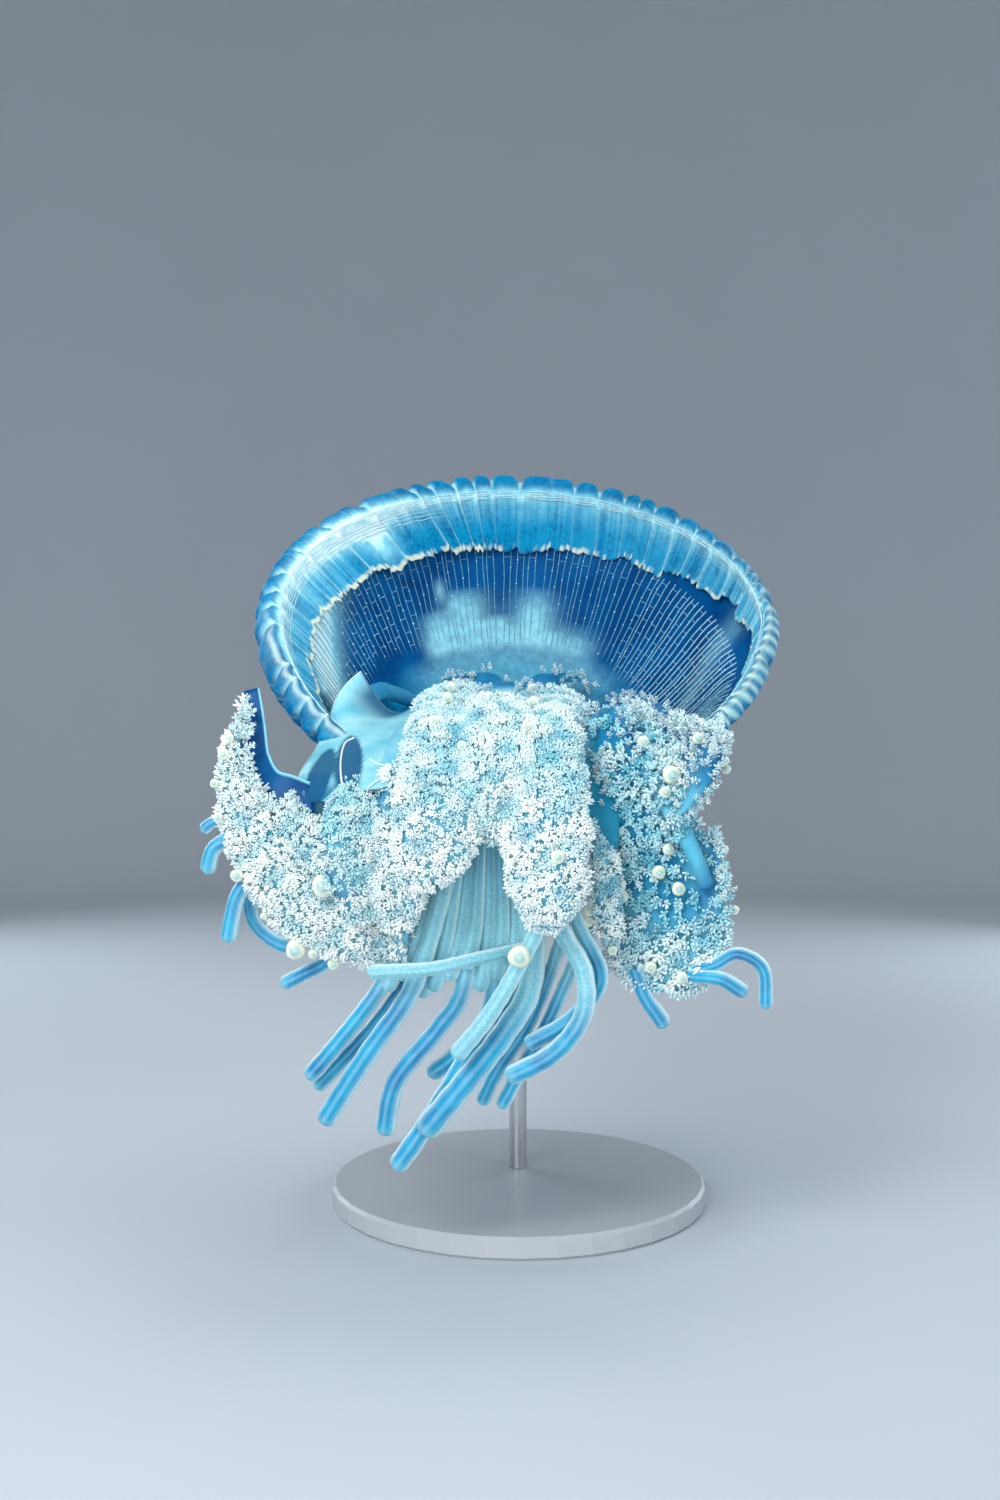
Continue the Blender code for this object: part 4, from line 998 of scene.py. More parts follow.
# Tones that change between two shares of the arm: milk gained, and deep blue lost.
Tone = namedtuple("Tone", "pale gained between deep gone")
FRONT_TONE = Tone(0.9, -0.35, (0.45, 0.65), 0.0, (0.45, 0.65))
CHANGING_TONES = {
    "arm_left_lower_stalk": Tone(0.0, 0.6, (0.3, 0.5), 0.6, (0.3, 0.45)),
    "arm_front_left": FRONT_TONE, "arm_front_right": FRONT_TONE,
    "arm_right_upper": Tone(0.10, 0.25, (0.8, 0.95), 0.85, (0.8, 0.95)),
    "arm_right_lower": Tone(0.04, 0.60, (0.85, 0.97), 0.55, (0.8, 0.95))}


def flesh_tone(arm, share):
    """How milky and how deep blue an arm's skin is at a share of its length."""
    tone = CHANGING_TONES.get(arm.name)
    if tone is None:
        return EVEN_TONES.get(arm.name, PLAIN_TONE)
    return (tone.pale + tone.gained * float(smooth_step(*tone.between, share)),
            tone.deep * float(1 - smooth_step(*tone.gone, share)))


def near_spots(spots, points):
    """1 in the middle of a spot, falling to 0 outside, seen along Y."""
    shares = [np.exp(-((points[:, 0] / MM - spot.x) / spot.wide) ** 2
                     - ((points[:, 2] / MM - spot.z) / spot.high) ** 2) for spot in spots]
    return np.max(shares, axis=0)


def mounds(points):
    """Smooth bumps about a centimetre across, from -1 in the pits to 1 on the mounds."""
    waves = np.sin(points @ MOUND_WAVES.T + np.arange(len(MOUND_WAVES)) * 1.3)
    return np.clip(waves.sum(1) / 2.2, -1.0, 1.0)


def bulged(share):
    return np.sign(share) * np.abs(share) ** SECTION_POWER


class Limb:
    """A loft along a spline of (x, y, z, half width, half depth) stations, in metres."""

    def __init__(self, stations, depth_axis):
        line = spline(stations, 12)
        self.centre, self.half = line[:, :3], line[:, 3:]
        self.along = unit(np.gradient(self.centre, axis=0))
        self.share, self.length = run_of(self.centre)
        axis, depths = np.array(depth_axis, dtype=float), []
        for along in self.along:
            axis = unit(axis - along * axis.dot(along))
            depths.append(axis)
        self.depth_axis = np.array(depths)
        self.width_axis = np.cross(self.along, self.depth_axis)

    def at(self, share, angle, inset=0.0):
        """Points and outward directions on the limb's side, inset by some metres."""
        share, angle, inset = np.broadcast_arrays(share, angle, inset)
        centre, half, along, wide, deep = (
            resampled(values, self.share, share)
            for values in (self.centre, self.half, self.along, self.width_axis, self.depth_axis))
        lump = 0.5 + 0.5 * np.sin(4.0 * angle + share * self.length * 190.0)
        half = np.maximum(half * (1.0 - 0.10 * lump[..., None]) - inset[..., None], THINNEST_HALF)
        side = np.stack([bulged(np.cos(angle)), bulged(np.sin(angle))], -1)
        point = centre + wide * (side * half)[..., :1] + deep * (side * half)[..., 1:]
        out = unit(wide * (side / half)[..., :1] + deep * (side / half)[..., 1:])
        out = unit(out + along * 1.2 * smooth_step(0.90, 1.0, share)[..., None])
        return point, out

    def mesh(self, inset=None, sides=20):
        """A closed loft, blunt at both ends; inset gives metres by share of the length."""
        share = np.linspace(0.0, 1.0, int(self.length / RING_SPACING) + 2)
        depth = inset(share) if inset else 0.0 * share
        rings, _ = self.at(share[:, None], np.arange(sides) * (2 * math.pi / sides), depth[:, None])
        tip = rings[-1].mean(0) + self.along[-1] * BLUNT_TIP
        return closed_rings(rings, np.stack([rings[0].mean(0), tip]))


def make_limb(arm):
    stations = np.array(arm.stations, dtype=float) * MM
    if arm.frill == "wool":
        return Limb(stations, (0.0, -1.0, 0.0))
    if arm.disc_side is None:
        return Limb(stations, BELL_AXIS)
    root = on_bell(math.radians((arm.disc_side + 0.5) * 45.0), ARM_ROOT_RADIUS, DISC_HEIGHT)
    root = np.append(root, (ARM_ROOT_WIDTH * MM, ARM_ROOT_DEPTH * MM))
    return Limb(np.concatenate([root[None], stations]), BELL_AXIS)


LIMBS = {arm.name: make_limb(arm) for arm in (*ARMS, *WEBS)}


def lathe(profile, sides=48):
    """A closed turned shape about the bell's axis, its profile from pole to pole."""
    inner = np.array(profile[1:-1])
    turn = np.arange(sides) * (2 * math.pi / sides)
    poles = bell_to_world(((0, 0, profile[0][1]), (0, 0, profile[-1][1])))
    return closed_rings(on_bell(turn, inner[:, :1], inner[:, 1:]), poles)


def pillar(number):
    """One of the four pillars between the bell's floor and the disc."""
    turn = math.radians(90.0 * (number + 0.5))
    line = np.linspace(on_bell(turn, PILLAR_RADIUS, FLOOR_INSIDE - 0.02),
                       on_bell(turn, PILLAR_RADIUS, DISC_HEIGHT - 0.03), len(PILLAR_SIZES))
    out = on_bell(turn, 1.0, 0.0) - on_bell(turn, 0.0, 0.0)
    return Limb(np.concatenate([line, np.array(PILLAR_SIZES) * MM], 1), out).mesh()


def frilled_share(arm, share):
    """How much of the coat an arm carries at a share of its length."""
    return smooth_step(arm.bare - 0.06, arm.bare + 0.08, share) if arm.frill else 0.0 * share


def skin_tones(verts, faces):
    """How milky and how deep blue the arms' skin is at each point, smoothed over it."""
    tree = kdtree.KDTree(sum(len(limb.centre) for limb in LIMBS.values()))
    marks = []
    for arm in (*ARMS, *WEBS):
        limb = LIMBS[arm.name]
        for centre, share in zip(limb.centre, limb.share):
            tree.insert(centre, len(marks))
            marks.append(flesh_tone(arm, share))
    tree.balance()
    tones = np.array([marks[tree.find(point)[1]] for point in verts])
    tones[:, 1] = np.maximum(tones[:, 1], near_spots(DEEP_SPOTS, verts))
    for _ in range(12):
        sums, counts = np.zeros_like(tones), np.zeros(len(verts))
        for first, second in ((0, 1), (1, 2), (2, 0)):
            np.add.at(sums, faces[:, first], tones[faces[:, second]])
            np.add.at(counts, faces[:, first], 1)
        tones = 0.5 * tones + 0.5 * sums / np.maximum(counts, 1)[:, None]
    return {"pale": tones[:, 0], "deep": tones[:, 1]}


def arms_skin(material):
    """Disc, pillars, oral dome and the arms' cores as one smooth surface."""
    shapes = [LIMBS[arm.name].mesh(lambda share, arm=arm: COAT_DEPTH * frilled_share(arm, share))
              for arm in (*ARMS, *WEBS)]
    shapes.append(lathe([*DISC_OUTLINE, *((radius, height + DOME_FOOT) for radius, height in ORAL_DOME)]))
    shapes += [pillar(number) for number in range(4)]
    verts, faces, _ = joined([(*shape, {}) for shape in shapes])
    verts, faces = remeshed(verts, faces, SKIN_VOXEL, 10)
    piece("arms_skin", verts, faces, material, ARM_NODES, skin_tones(verts, faces))
    return BVHTree.FromPolygons(verts.tolist(), faces.tolist())


# ---- Frills ------------------------------------------------------------------------
def twig(foot, tip, thickness, low, high):
    """A three-sided twig with a swollen end: points, faces, and paleness 0 to 1."""
    foot, tip = np.array(foot, dtype=float), np.array(tip, dtype=float)
    along = unit(tip - foot)
    side = unit(np.cross(along, (0.3, 0.5, -0.8)))
    other = np.cross(along, side)
    turn = np.arange(3) * (2 * math.pi / 3)
    ring = side * np.cos(turn)[:, None] + other * np.sin(turn)[:, None]
    verts = np.concatenate([foot + ring * thickness * 0.6, foot + (tip - foot) * 0.80 + ring * thickness,
                            tip[None]])
    faces = [(0, 2, 1), (3, 4, 6), (4, 5, 6), (5, 3, 6)]
    for k in range(3):
        n = (k + 1) % 3
        faces += [(k, n, n + 3), (k, n + 3, k + 3)]
    return verts, np.array(faces), {"tip": np.array([low] * 3 + [(low + 2 * high) / 3] * 3 + [high])}


def floret(seed):
    """A short bushy tuft one unit tall."""
    rng = np.random.default_rng(seed)
    parts = [twig((0, 0, -0.15), (0, 0, 0.62), 0.13, 0.0, 0.7)]
    for number in range(7):
        turn = 2 * math.pi * (number + rng.uniform(-0.3, 0.3)) * 0.382
        low = rng.uniform(0.12, 0.45)
        lean = rng.uniform(0.35, 0.62)
        reach = rng.uniform(0.42, 0.62)
        tip = (math.cos(turn) * lean, math.sin(turn) * lean, low + reach * rng.uniform(0.6, 1.0))
        parts.append(twig((0, 0, low), tip, rng.uniform(0.12, 0.18), 0.25, 1.0))
    return joined(parts)


def sprig(seed):
    """A taller branching spray one unit tall, like a small fir."""
    rng = np.random.default_rng(seed)
    parts = [twig((0, 0, -0.1), (0.04, 0, 1.0), 0.055, 0.45, 1.0)]
    for number in range(10):
        turn = number * 2.4 + rng.uniform(-0.4, 0.4)
        low = 0.12 + 0.075 * number
        lean = 0.36 * (1.05 - low) + 0.06
        tip = (math.cos(turn) * lean, math.sin(turn) * lean, low + lean * rng.uniform(0.5, 0.9))
        parts.append(twig((0, 0, low), tip, 0.062, 0.6, 1.0))
    return joined(parts)


FLORETS = [floret(seed) for seed in range(8)]
SPRIGS = [sprig(seed) for seed in range(20, 25)]
# Size of one tuft's patch on the unwrap of the skin's own shape.
UV_PATCH = 0.003


def scattered(templates, roots, directions, heights, widths, spots, chalk):
    """Copies of the templates standing on their roots, each with its patch of the unwrap."""
    kinds = RNG.integers(0, len(templates), len(roots))
    turns = RNG.uniform(0, 2 * math.pi, len(roots))
    verts, faces, values, uvs, start = [], [], {"tip": [], "chalk": []}, [], 0
    for kind, (shape, shell, marks) in enumerate(templates):
        pick = np.flatnonzero(kinds == kind)
        if not len(pick):
            continue
        up = unit(directions[pick])
        side = unit(np.cross(up, np.where(np.abs(up[:, 2:]) < 0.9, (0.0, 0.0, 1.0), (1.0, 0.0, 0.0))))
        other = np.cross(up, side)
        cos, sin = np.cos(turns[pick])[:, None], np.sin(turns[pick])[:, None]
        side, other = side * cos + other * sin, other * cos - side * sin
        wide, tall = widths[pick][:, None, None], heights[pick][:, None, None]
        placed = (roots[pick][:, None] + side[:, None] * shape[None, :, :1] * wide
                  + other[:, None] * shape[None, :, 1:2] * wide + up[:, None] * shape[None, :, 2:] * tall)
        verts.append(placed.reshape(-1, 3))
        firsts = start + np.arange(len(pick)) * len(shape)
        faces.append((shell[None] + firsts[:, None, None]).reshape(-1, 3))
        values["tip"].append(np.tile(marks["tip"], len(pick)))
        values["chalk"].append(np.repeat(chalk[pick], len(shape)))
        uvs.append((spots[pick][:, None] + shape[None, :, :2] * UV_PATCH).reshape(-1, 2))
        start += len(pick) * len(shape)
    return (np.concatenate(verts), np.concatenate(faces),
            {name: np.concatenate(v) for name, v in values.items()}, np.concatenate(uvs))


def limb_spots(arm, spacing):
    """Evenly scattered (share, angle) places on a limb, jittered, sparser behind."""
    limb = LIMBS[arm.name]
    turn = np.linspace(0, 2 * math.pi, 33)
    shares, angles = [], []
    for share in np.arange(arm.bare, 1.0, spacing / limb.length):
        ring, _ = limb.at(share, turn, COAT_DEPTH)
        run, girth = run_of(ring)
        count = max(int(girth / spacing), 3)
        places = (np.arange(count) + RNG.uniform(-0.35, 0.35, count) + 0.5) / count
        angles.append(np.interp(places, run, turn))
        shares.append(share + RNG.uniform(-0.4, 0.4, count) * spacing / limb.length)
    shares, angles = np.clip(np.concatenate(shares), 0.0, 1.0), np.concatenate(angles)
    _, out = limb.at(shares, angles)
    kept = RNG.uniform(0, 1, len(shares)) < 0.45 + 0.6 * smooth_step(-0.3, 0.2, -out[:, 1])
    kept &= RNG.uniform(0, 1, len(shares)) < 0.25 + 0.75 * frilled_share(arm, shares)
    return shares[kept], angles[kept]


# Each kind of frill: mm between florets, height, width, how far they lie along the arm, and chalk.
Frill = namedtuple("Frill", "spacing tall wide lie chalk")
FRILLS = {
    "dense": Frill(2.45, 1.0, 1.0, 0.12, 0.55), "sparse": Frill(3.4, 1.0, 1.0, 0.12, 0.4),
    "open": Frill(3.5, 1.3, 1.3, 0.12, 0.20), "coral": Frill(5.0, 1.5, 1.7, 0.12, 0.7),
    "wool": Frill(2.25, 1.25, 0.85, 0.30, 0.85)}
WOOL_COMBED = np.array((-0.28, 0.0, -0.30))
FRILL_TALL, FRILL_WIDE = (4.1, 6.2), (3.5, 5.0)
# A root is kept if it isn't sunk deeper in the skin, or further from it, than this.
ROOT_SUNK, ROOT_LOOSE = 3.5 * MM, 5.0 * MM


def frill_cover(arm, share):
    """Share of the frills kept, so that smooth skin shows where the arm is nearly bare."""
    if arm.name.startswith("arm_front"):
        return 0.35 + 0.65 * smooth_step(0.30, 0.50, share)
    return np.ones_like(share)


def frill_chalk(arm, roots):
    """How far the white reaches down to the root of the frills."""
    if arm.name.startswith(("arm_front", "web_middle", "web_left")):
        return 0.45 * (1 - smooth_step(0.235, 0.300, roots[:, 2])) + 0.50
    chalk = np.full(len(roots), FRILLS[arm.frill].chalk)
    if arm.frill == "open":
        chalk = chalk + 0.40 * (1 - smooth_step(0.185, 0.210, roots[:, 2]))
    return chalk


def rooted(skin, roots, out):
    """Which roots lie on the skin, with all roots and directions brought to it."""
    kept = np.zeros(len(roots), dtype=bool)
    for number, root in enumerate(roots):
        nearest, normal, _, gap = skin.find_nearest(Vector(root))
        buried = (Vector(root) - nearest).dot(normal)
        kept[number] = buried > -ROOT_SUNK and gap < ROOT_LOOSE
        roots[number] = nearest
        out[number] = unit(out[number] + np.array(normal))
    return kept


def coat(arm, skin, material):
    """The frills of one arm as one mesh, rooted on the skin."""
    limb, frill = LIMBS[arm.name], FRILLS[arm.frill]
    shares, angles = limb_spots(arm, frill.spacing * MM)
    roots, out = limb.at(shares, angles, COAT_DEPTH + 0.5 * MM)
    cover = frill_cover(arm, shares) * (1 - 0.85 * near_spots(BARE_SPOTS, roots))
    kept = RNG.uniform(0, 1, len(shares)) < cover
    shares, angles, roots, out = shares[kept], angles[kept], roots[kept], out[kept]
    kept = rooted(skin, roots, out)
    shares, angles, roots, out = shares[kept], angles[kept], roots[kept], out[kept]
    count, mound = len(roots), mounds(roots)
    along = resampled(limb.along, limb.share, shares)
    directions = out + along * frill.lie + RNG.normal(0, 0.22, (count, 3))
    heights = RNG.uniform(*FRILL_TALL, count) * (1.0 + 0.35 * mound) * MM * frill.tall
    widths = RNG.uniform(*FRILL_WIDE, count) * MM * frill.wide
    # Painted light: the mound term makes the frills whiter on the mounds' tops and bluer in the pits between
    # them, where shade falls.
    chalk = frill_chalk(arm, roots) + RNG.uniform(-0.08, 0.08, count) + 0.38 * mound
    if arm.frill == "wool":
        directions = directions + WOOL_COMBED
    spots = np.stack([0.02 + 0.96 * shares, 0.02 + 0.96 * angles / (2 * math.pi)], -1)
    templates = SPRIGS if arm.frill == "coral" else FLORETS
    verts, faces, values, uvs = scattered(templates, roots, directions, heights, widths, spots,
                                          np.clip(chalk, 0.0, 1.0))
    piece("coat_" + arm.name[len("arm_"):], verts, faces, material, values=values, uv=uvs)


# ---- Sprigs, veil and vesicles, placed as seen from the front, in mm ---------------
Patch = namedtuple("Patch", "x z wide high count tall")
SPRIG_PATCHES = (
    Patch(80, 330, 10, 18, 60, 8.5), Patch(98, 316, 12, 12, 40, 7.5), Patch(110, 298, 16, 22, 120, 7.5),
    Patch(118, 312, 10, 14, 50, 8.5), Patch(80, 296, 16, 16, 50, 6.5), Patch(60, 322, 7, 16, 24, 7.0),
    Patch(-34, 341, 14, 6, 34, 6.5), Patch(10, 345, 14, 6, 26, 7.0), Patch(-129, 272, 4, 6, 44, 11.0),
    Patch(-145, 272, 4, 4, 26, 9.0), Patch(-153, 318, 8, 16, 44, 6.0), Patch(-58, 281, 8, 7, 26, 6.5),
    Patch(116, 232, 9, 26, 70, 7.5), Patch(122, 256, 5, 10, 18, 9.0), Patch(50, 290, 8, 26, 40, 6.0),
    Patch(95, 308, 4, 3, 4, 17), Patch(110, 306, 4, 3, 4, 16), Patch(76, 318, 6, 3, 6, 15),
    Patch(64, 320, 4, 3, 3, 14), Patch(54, 292, 7, 8, 6, 13), Patch(119, 248, 3, 3, 4, 15),
    Patch(45, 322, 3, 4, 3, 14),
)
# A y in front of the whole model.
IN_FRONT = -0.32
# Sprigs taller than this are slender and stand upright, like firs.
FIR = 12.0
SPRIG_REACH = 22 * MM
SPRIG_CHALK = 0.65
HORN_EDGE = ((-160, -142, 336), (-161, -147, 312), (-160, -151, 290), (-152, -154, 274), (-136, -157, 266),
             (-116, -160, 260))
WEB_EDGE = ((-152, -142, 338), (-148, -146, 318), (-146.5, -147, 306), (-145, -148, 299), (-140, -149, 290),
            (-131, -150, 287), (-121, -151, 283))
HORN_TEETH, HORN_LEANS, HORN_TALL = 7, (-0.25, 0.0, 0.3), (11.0, 14.0)
VEIL_LEFT = ((-107, 4, 355), (-114, -16, 346), (-119, -38, 334), (-121, -60, 320), (-123, -82, 309),
             (-125, -104, 300), (-127, -126, 293), (-128, -142, 287), (-126, -152, 278), (-120, -158, 272))
VEIL_RIGHT = ((-62, -10, 338), (-64, -34, 333), (-66, -62, 325), (-66, -92, 315), (-65, -118, 305),
              (-62, -142, 296), (-66, -158, 288), (-76, -168, 282), (-90, -168, 279), (-106, -164, 274))
VEIL_ROWS, VEIL_COLUMNS = 60, 40
VEIL_THICK, VEIL_BELLY, VEIL_DIP, OVAL_DEPTH = 1.2 * MM, 10.0 * MM, 19.0 * MM, 3.0 * MM
FILM_THICK, FILM_ROWS, FILM_COLUMNS = 1.0 * MM, 40, 14
LINE_PROUD = Vector((0, -1.0 * MM, 0))
Oval = namedtuple("Oval", "x z wide high lean")
VEIL_OVALS = (Oval(-100, 293, 9.0, 18, 0.16), Oval(-116, 286, 8.0, 17, -0.12))
# Lines laid on the veil, as (x, z) points with a radius: a window's border, an arc and an arch.
VEIL_LINES = (
    (((-101, 309.5), (-106, 306), (-106, 298), (-103, 288), (-100, 280), (-98, 277)), 0.6),
    (((-88, 297), (-82, 294), (-74, 293), (-64, 295)), 0.45),
    (((-86, 281), (-80, 285.5), (-73, 287), (-66, 285)), 0.5),
)


def onto(skin, x, z):
    """Where a line from the viewer's side along +Y meets the skin, with its normal, or None."""
    where, normal, _, _ = skin.ray_cast(Vector((x, IN_FRONT, z)), Vector((0.0, 1.0, 0.0)))
    return (where, normal) if where else None


def sprigs(skin, material):
    """Taller branching sprays along the upper edges and on the right arm."""
    roots, out, talls = [], [], []
    for patch in SPRIG_PATCHES:
        for _ in range(patch.count):
            x = (patch.x + patch.wide * RNG.normal(0, 0.5)) * MM
            z = (patch.z + patch.high * RNG.normal(0, 0.5)) * MM
            met = onto(skin, x, z)
            if met is None:
                near, normal, _, gap = skin.find_nearest(Vector((x, -0.15, z)))
                if gap > SPRIG_REACH:
                    continue
                met = (near, normal)
            roots.append(met[0])
            out.append(met[1] * 0.4 + Vector((0.0, -0.3, 1.0)) if patch.tall > FIR
                       else met[1] + Vector((0.0, -0.2, 0.55)))
            talls.append(patch.tall * RNG.uniform(0.7, 1.15) * MM)
    horn = spline_mm(HORN_EDGE, 10)
    for share in np.linspace(0.16, 0.86, HORN_TEETH):
        for lean in HORN_LEANS:
            roots.append(Vector(horn[int(share * 40)]) + Vector((-1.0 * MM, -5.0 * MM, 3.0 * lean * MM)))
            out.append(Vector((1.0, -0.35, 0.45 + lean)))
            talls.append(RNG.uniform(*HORN_TALL) * MM)
    roots, talls = np.array(roots), np.array(talls)
    out = np.array(out) + RNG.normal(0, 0.15, (len(out), 3))
    spots = np.stack([(roots[:, 0] + 0.2) / 0.4, (roots[:, 2] - 0.15) / 0.25], -1)
    widths = np.where(talls > FIR * MM, 0.7, 1.0) * talls
    verts, faces, values, uvs = scattered(SPRIGS, roots, out, talls, widths, np.clip(spots, 0.02, 0.98),
                                          np.full(len(roots), SPRIG_CHALK))
    piece("coat_sprigs", verts, faces, material, values=values, uv=uvs)


def solid_sheet(points, thickness):
    """A closed sheet from a (rows, columns, 3) grid of points, thick along its normals."""
    rows, columns = points.shape[:2]
    across, down = np.gradient(points, axis=1), np.gradient(points, axis=0)
    out = unit(np.cross(across, down)) * thickness / 2
    verts = np.concatenate([(points + out).reshape(-1, 3), (points - out).reshape(-1, 3)])
    quads = grid_faces(rows, columns)
    size = rows * columns
    border = np.concatenate([np.arange(columns), np.arange(1, rows) * columns + columns - 1,
                             size - 1 - np.arange(1, columns), (np.arange(rows - 2, 0, -1)) * columns])
    after = np.roll(border, -1)
    rim = np.stack([border, border + size, after + size, after], -1)
    return verts, np.concatenate([quads, quads[:, ::-1] + size, rim])


def between(first, second, rows, columns):
    """A grid of points ruled between two splines given in mm."""
    down, grid = np.linspace(0, 1, rows), []
    for line in (first, second):
        curve = spline_mm(line, 10)
        grid.append(resampled(curve, np.linspace(0, 1, len(curve)), down))
    over = np.linspace(0, 1, columns)[None, :, None]
    return grid[0][:, None] * (1 - over) + grid[1][:, None] * over


def edge_line(name, route, radius, material, bright):
    """A thin bright line on the veil or the film."""
    tube, faces, _ = tube_mesh(route[None], radius * MM, 6, up=(0.0, 1.0, 0.0))
    values = {"deep": np.zeros(len(tube)), "edge": np.full(len(tube), bright)}
    piece(name, tube, faces, material, values=values)


def horn_web(material):
    """The thin dark skin between the crescent's horn and the veil, with a bright edge."""
    points = between(HORN_EDGE, WEB_EDGE, FILM_ROWS, FILM_COLUMNS)
    verts, quads = solid_sheet(points, FILM_THICK)
    over = np.broadcast_to(np.linspace(0, 1, FILM_COLUMNS), points.shape[:2])
    values = {"deep": np.full(len(verts), 0.95), "edge": np.tile(smooth_step(0.93, 1.0, over).ravel(), 2)}
    piece("horn_web", verts, triangles(quads), material, ("arm_left_lower_web",), values)
    edge_line("horn_web_edge", points[:, -1], 0.7, material, 0.8)


def veil(material):
    """The smooth clear skin between the left arm's stalk and the front arms, with its lines."""
    points = between(VEIL_LEFT, VEIL_RIGHT, VEIL_ROWS, VEIL_COLUMNS)
    left, right = points[:, 0].copy(), points[:, -1].copy()
    down, over = np.linspace(0, 1, VEIL_ROWS), np.linspace(0, 1, VEIL_COLUMNS)[None]
    bow = np.sin(np.pi * over)
    points[..., 1] -= VEIL_BELLY * bow * (0.3 + 0.7 * np.sin(np.pi * down))[:, None]
    points[..., 2] -= VEIL_DIP * bow * (1 - smooth_step(0.0, 0.42, down))[:, None]
    ovals = np.zeros(points.shape[:2])
    for oval in VEIL_OVALS:
        x, z = points[..., 0] / MM - oval.x, points[..., 2] / MM - oval.z
        away = np.hypot((x + oval.lean * z) / oval.wide, z / oval.high)
        ovals = np.maximum(ovals, 1 - smooth_step(0.90, 1.04, away))
    points[..., 1] += OVAL_DEPTH * ovals
    verts, quads = solid_sheet(points, VEIL_THICK)
    low = smooth_step(0.72, 0.92, down)[:, None] * (over < 0.55)
    # Painted shade: the veil is deep blue along its top, in the hollow under the bell.
    top = 0.9 * (1 - smooth_step(0.02, 0.26, down))[:, None] * smooth_step(0.02, 0.22, over)
    deep = np.clip(np.maximum(np.maximum(0.95 * ovals, 0.8 * low), top), 0, 1)
    values = {"deep": np.tile(deep.ravel(), 2), "edge": np.zeros(2 * deep.size)}
    piece("veil_left", verts, triangles(quads), material, values=values)
    sheet, lines = BVHTree.FromPolygons(verts.tolist(), quads.tolist()), []
    for line, radius in VEIL_LINES:
        met = [onto(sheet, x, z) for x, z in spline_mm(line, 8)]
        lines.append((np.array([point[0] + LINE_PROUD for point in met if point]), radius))
    lines += [(left[:-9], 0.6), (right, 0.4), (points[0], 0.6)]
    for number, (route, radius) in enumerate(lines, start=1):
        edge_line(f"veil_line_{number}", route, radius, material, 0.9)


# Each vesicle: x, z and radius.
VESICLES = (
    (-173, 302, 3.4), (-165, 307, 2.8), (-180, 284, 2.6), (-177, 263, 2.8), (-158, 251, 2.2),
    (-164, 230, 3.8), (-106, 231, 6.6), (-130, 184, 5.8), (-119, 184, 2.8), (-107, 179, 3.4),
    (-146, 208, 2.2), (-46, 337, 3.4), (-46, 328, 3.4), (-31, 300, 2.8), (-52, 344, 2.4), (10, 341, 3.6),
    (4, 325, 3.9), (-1, 311, 2.8), (19, 244, 3.8), (69, 302, 3.6), (83, 283, 5.4), (80, 275, 3.4),
    (85, 246, 3.4), (80, 233, 3.9), (90, 224, 3.9), (59, 218, 5.0), (38, 212, 3.4), (32, 204, 2.8),
    (56, 192, 4.4), (115, 291, 2.8), (103, 304, 3.4), (125, 254, 2.8), (120, 212, 2.8), (75, 180, 3.4),
    (91, 176, 3.4), (-2, 190, 6.2), (-8, 207, 2.8), (19, 166, 2.8),
)
# The big one among the filaments sits in front of them, at this y.
FILAMENT_VESICLE, FILAMENT_VESICLE_Y = (-2, 190, 6.2), -193.0
VESICLE_RINGS, VESICLE_SIDES = 12, 18
YOLK_SIZE = 0.55


def bladder(centre, radius, lumps):
    """A slightly lumpy ball: points, faces, and how near each point is to its outline."""
    polar = np.linspace(0, math.pi, VESICLE_RINGS + 1)[1:-1, None]
    turn = np.arange(VESICLE_SIDES) * (2 * math.pi / VESICLE_SIDES)
    wobble = 1 + 0.04 * np.sin(3 * turn + lumps)
    rings = np.stack([np.sin(polar) * np.cos(turn) * wobble * radius,
                      np.cos(polar) * np.ones(VESICLE_SIDES) * -radius,
                      np.sin(polar) * np.sin(turn) * wobble * radius], -1)
    verts, faces = closed_rings(rings, ((0, -radius, 0), (0, radius, 0)))
    return verts + centre, faces[:, ::-1], np.append(np.repeat(np.sin(polar), VESICLE_SIDES), (0.0, 0.0))


def vesicles(skin, material):
    """Small round bladders: a shell round a darker yolk, cream in a painted bright ring at its outline,
    sitting on the frills.
    """
    shells, yolks, stalks = [], [], []
    for vesicle in VESICLES:
        x, z, radius = vesicle
        met = onto(skin, x * MM, z * MM)
        if met is None:
            near, normal, _, gap = skin.find_nearest(Vector((x * MM, -0.165, z * MM)))
            centre = np.array(near + normal * min(gap, (5.0 + 0.5 * radius) * MM))
        else:
            centre = np.array(met[0] + met[1] * (5.0 + 0.4 * radius) * MM)
        foot = np.array(skin.find_nearest(Vector(centre))[0])
        if vesicle == FILAMENT_VESICLE:
            centre = np.array((x, FILAMENT_VESICLE_Y, z)) * MM
            foot = centre
        stalks.append(foot + (centre - foot) * np.linspace(0, 1, 6)[:, None])
        verts, faces, rim = bladder(centre, radius * MM, x)
        shells.append((verts, faces, {"rim": rim}))
        inside = centre - np.array((0, YOLK_SIZE * radius * MM, 0))
        verts, faces, rim = bladder(inside, radius * YOLK_SIZE * MM, x)
        yolks.append((verts, faces, {"rim": rim * 0.4}))
    joined_piece("vesicle_shells", shells, material)
    joined_piece("vesicle_yolks", yolks, material)
    verts, faces, _ = tube_mesh(stalks, 0.6 * MM, 6, up=(0.1, 0.2, 1.0))
    piece("vesicle_stalks", verts, faces, material, values={"rim": np.full(len(verts), 0.8)})


# ---- Filaments ---------------------------------------------------------------------
BUNCH = ((-26, -134, 256, 16, 8), (-30, -139, 236, 24, 8), (-34, -142, 210, 33, 8), (-40, -143, 188, 37, 7),
         (-42, -143, 175, 30, 5))
BUNCH_TUBES = 10
BUNCH_DEPTH = 17
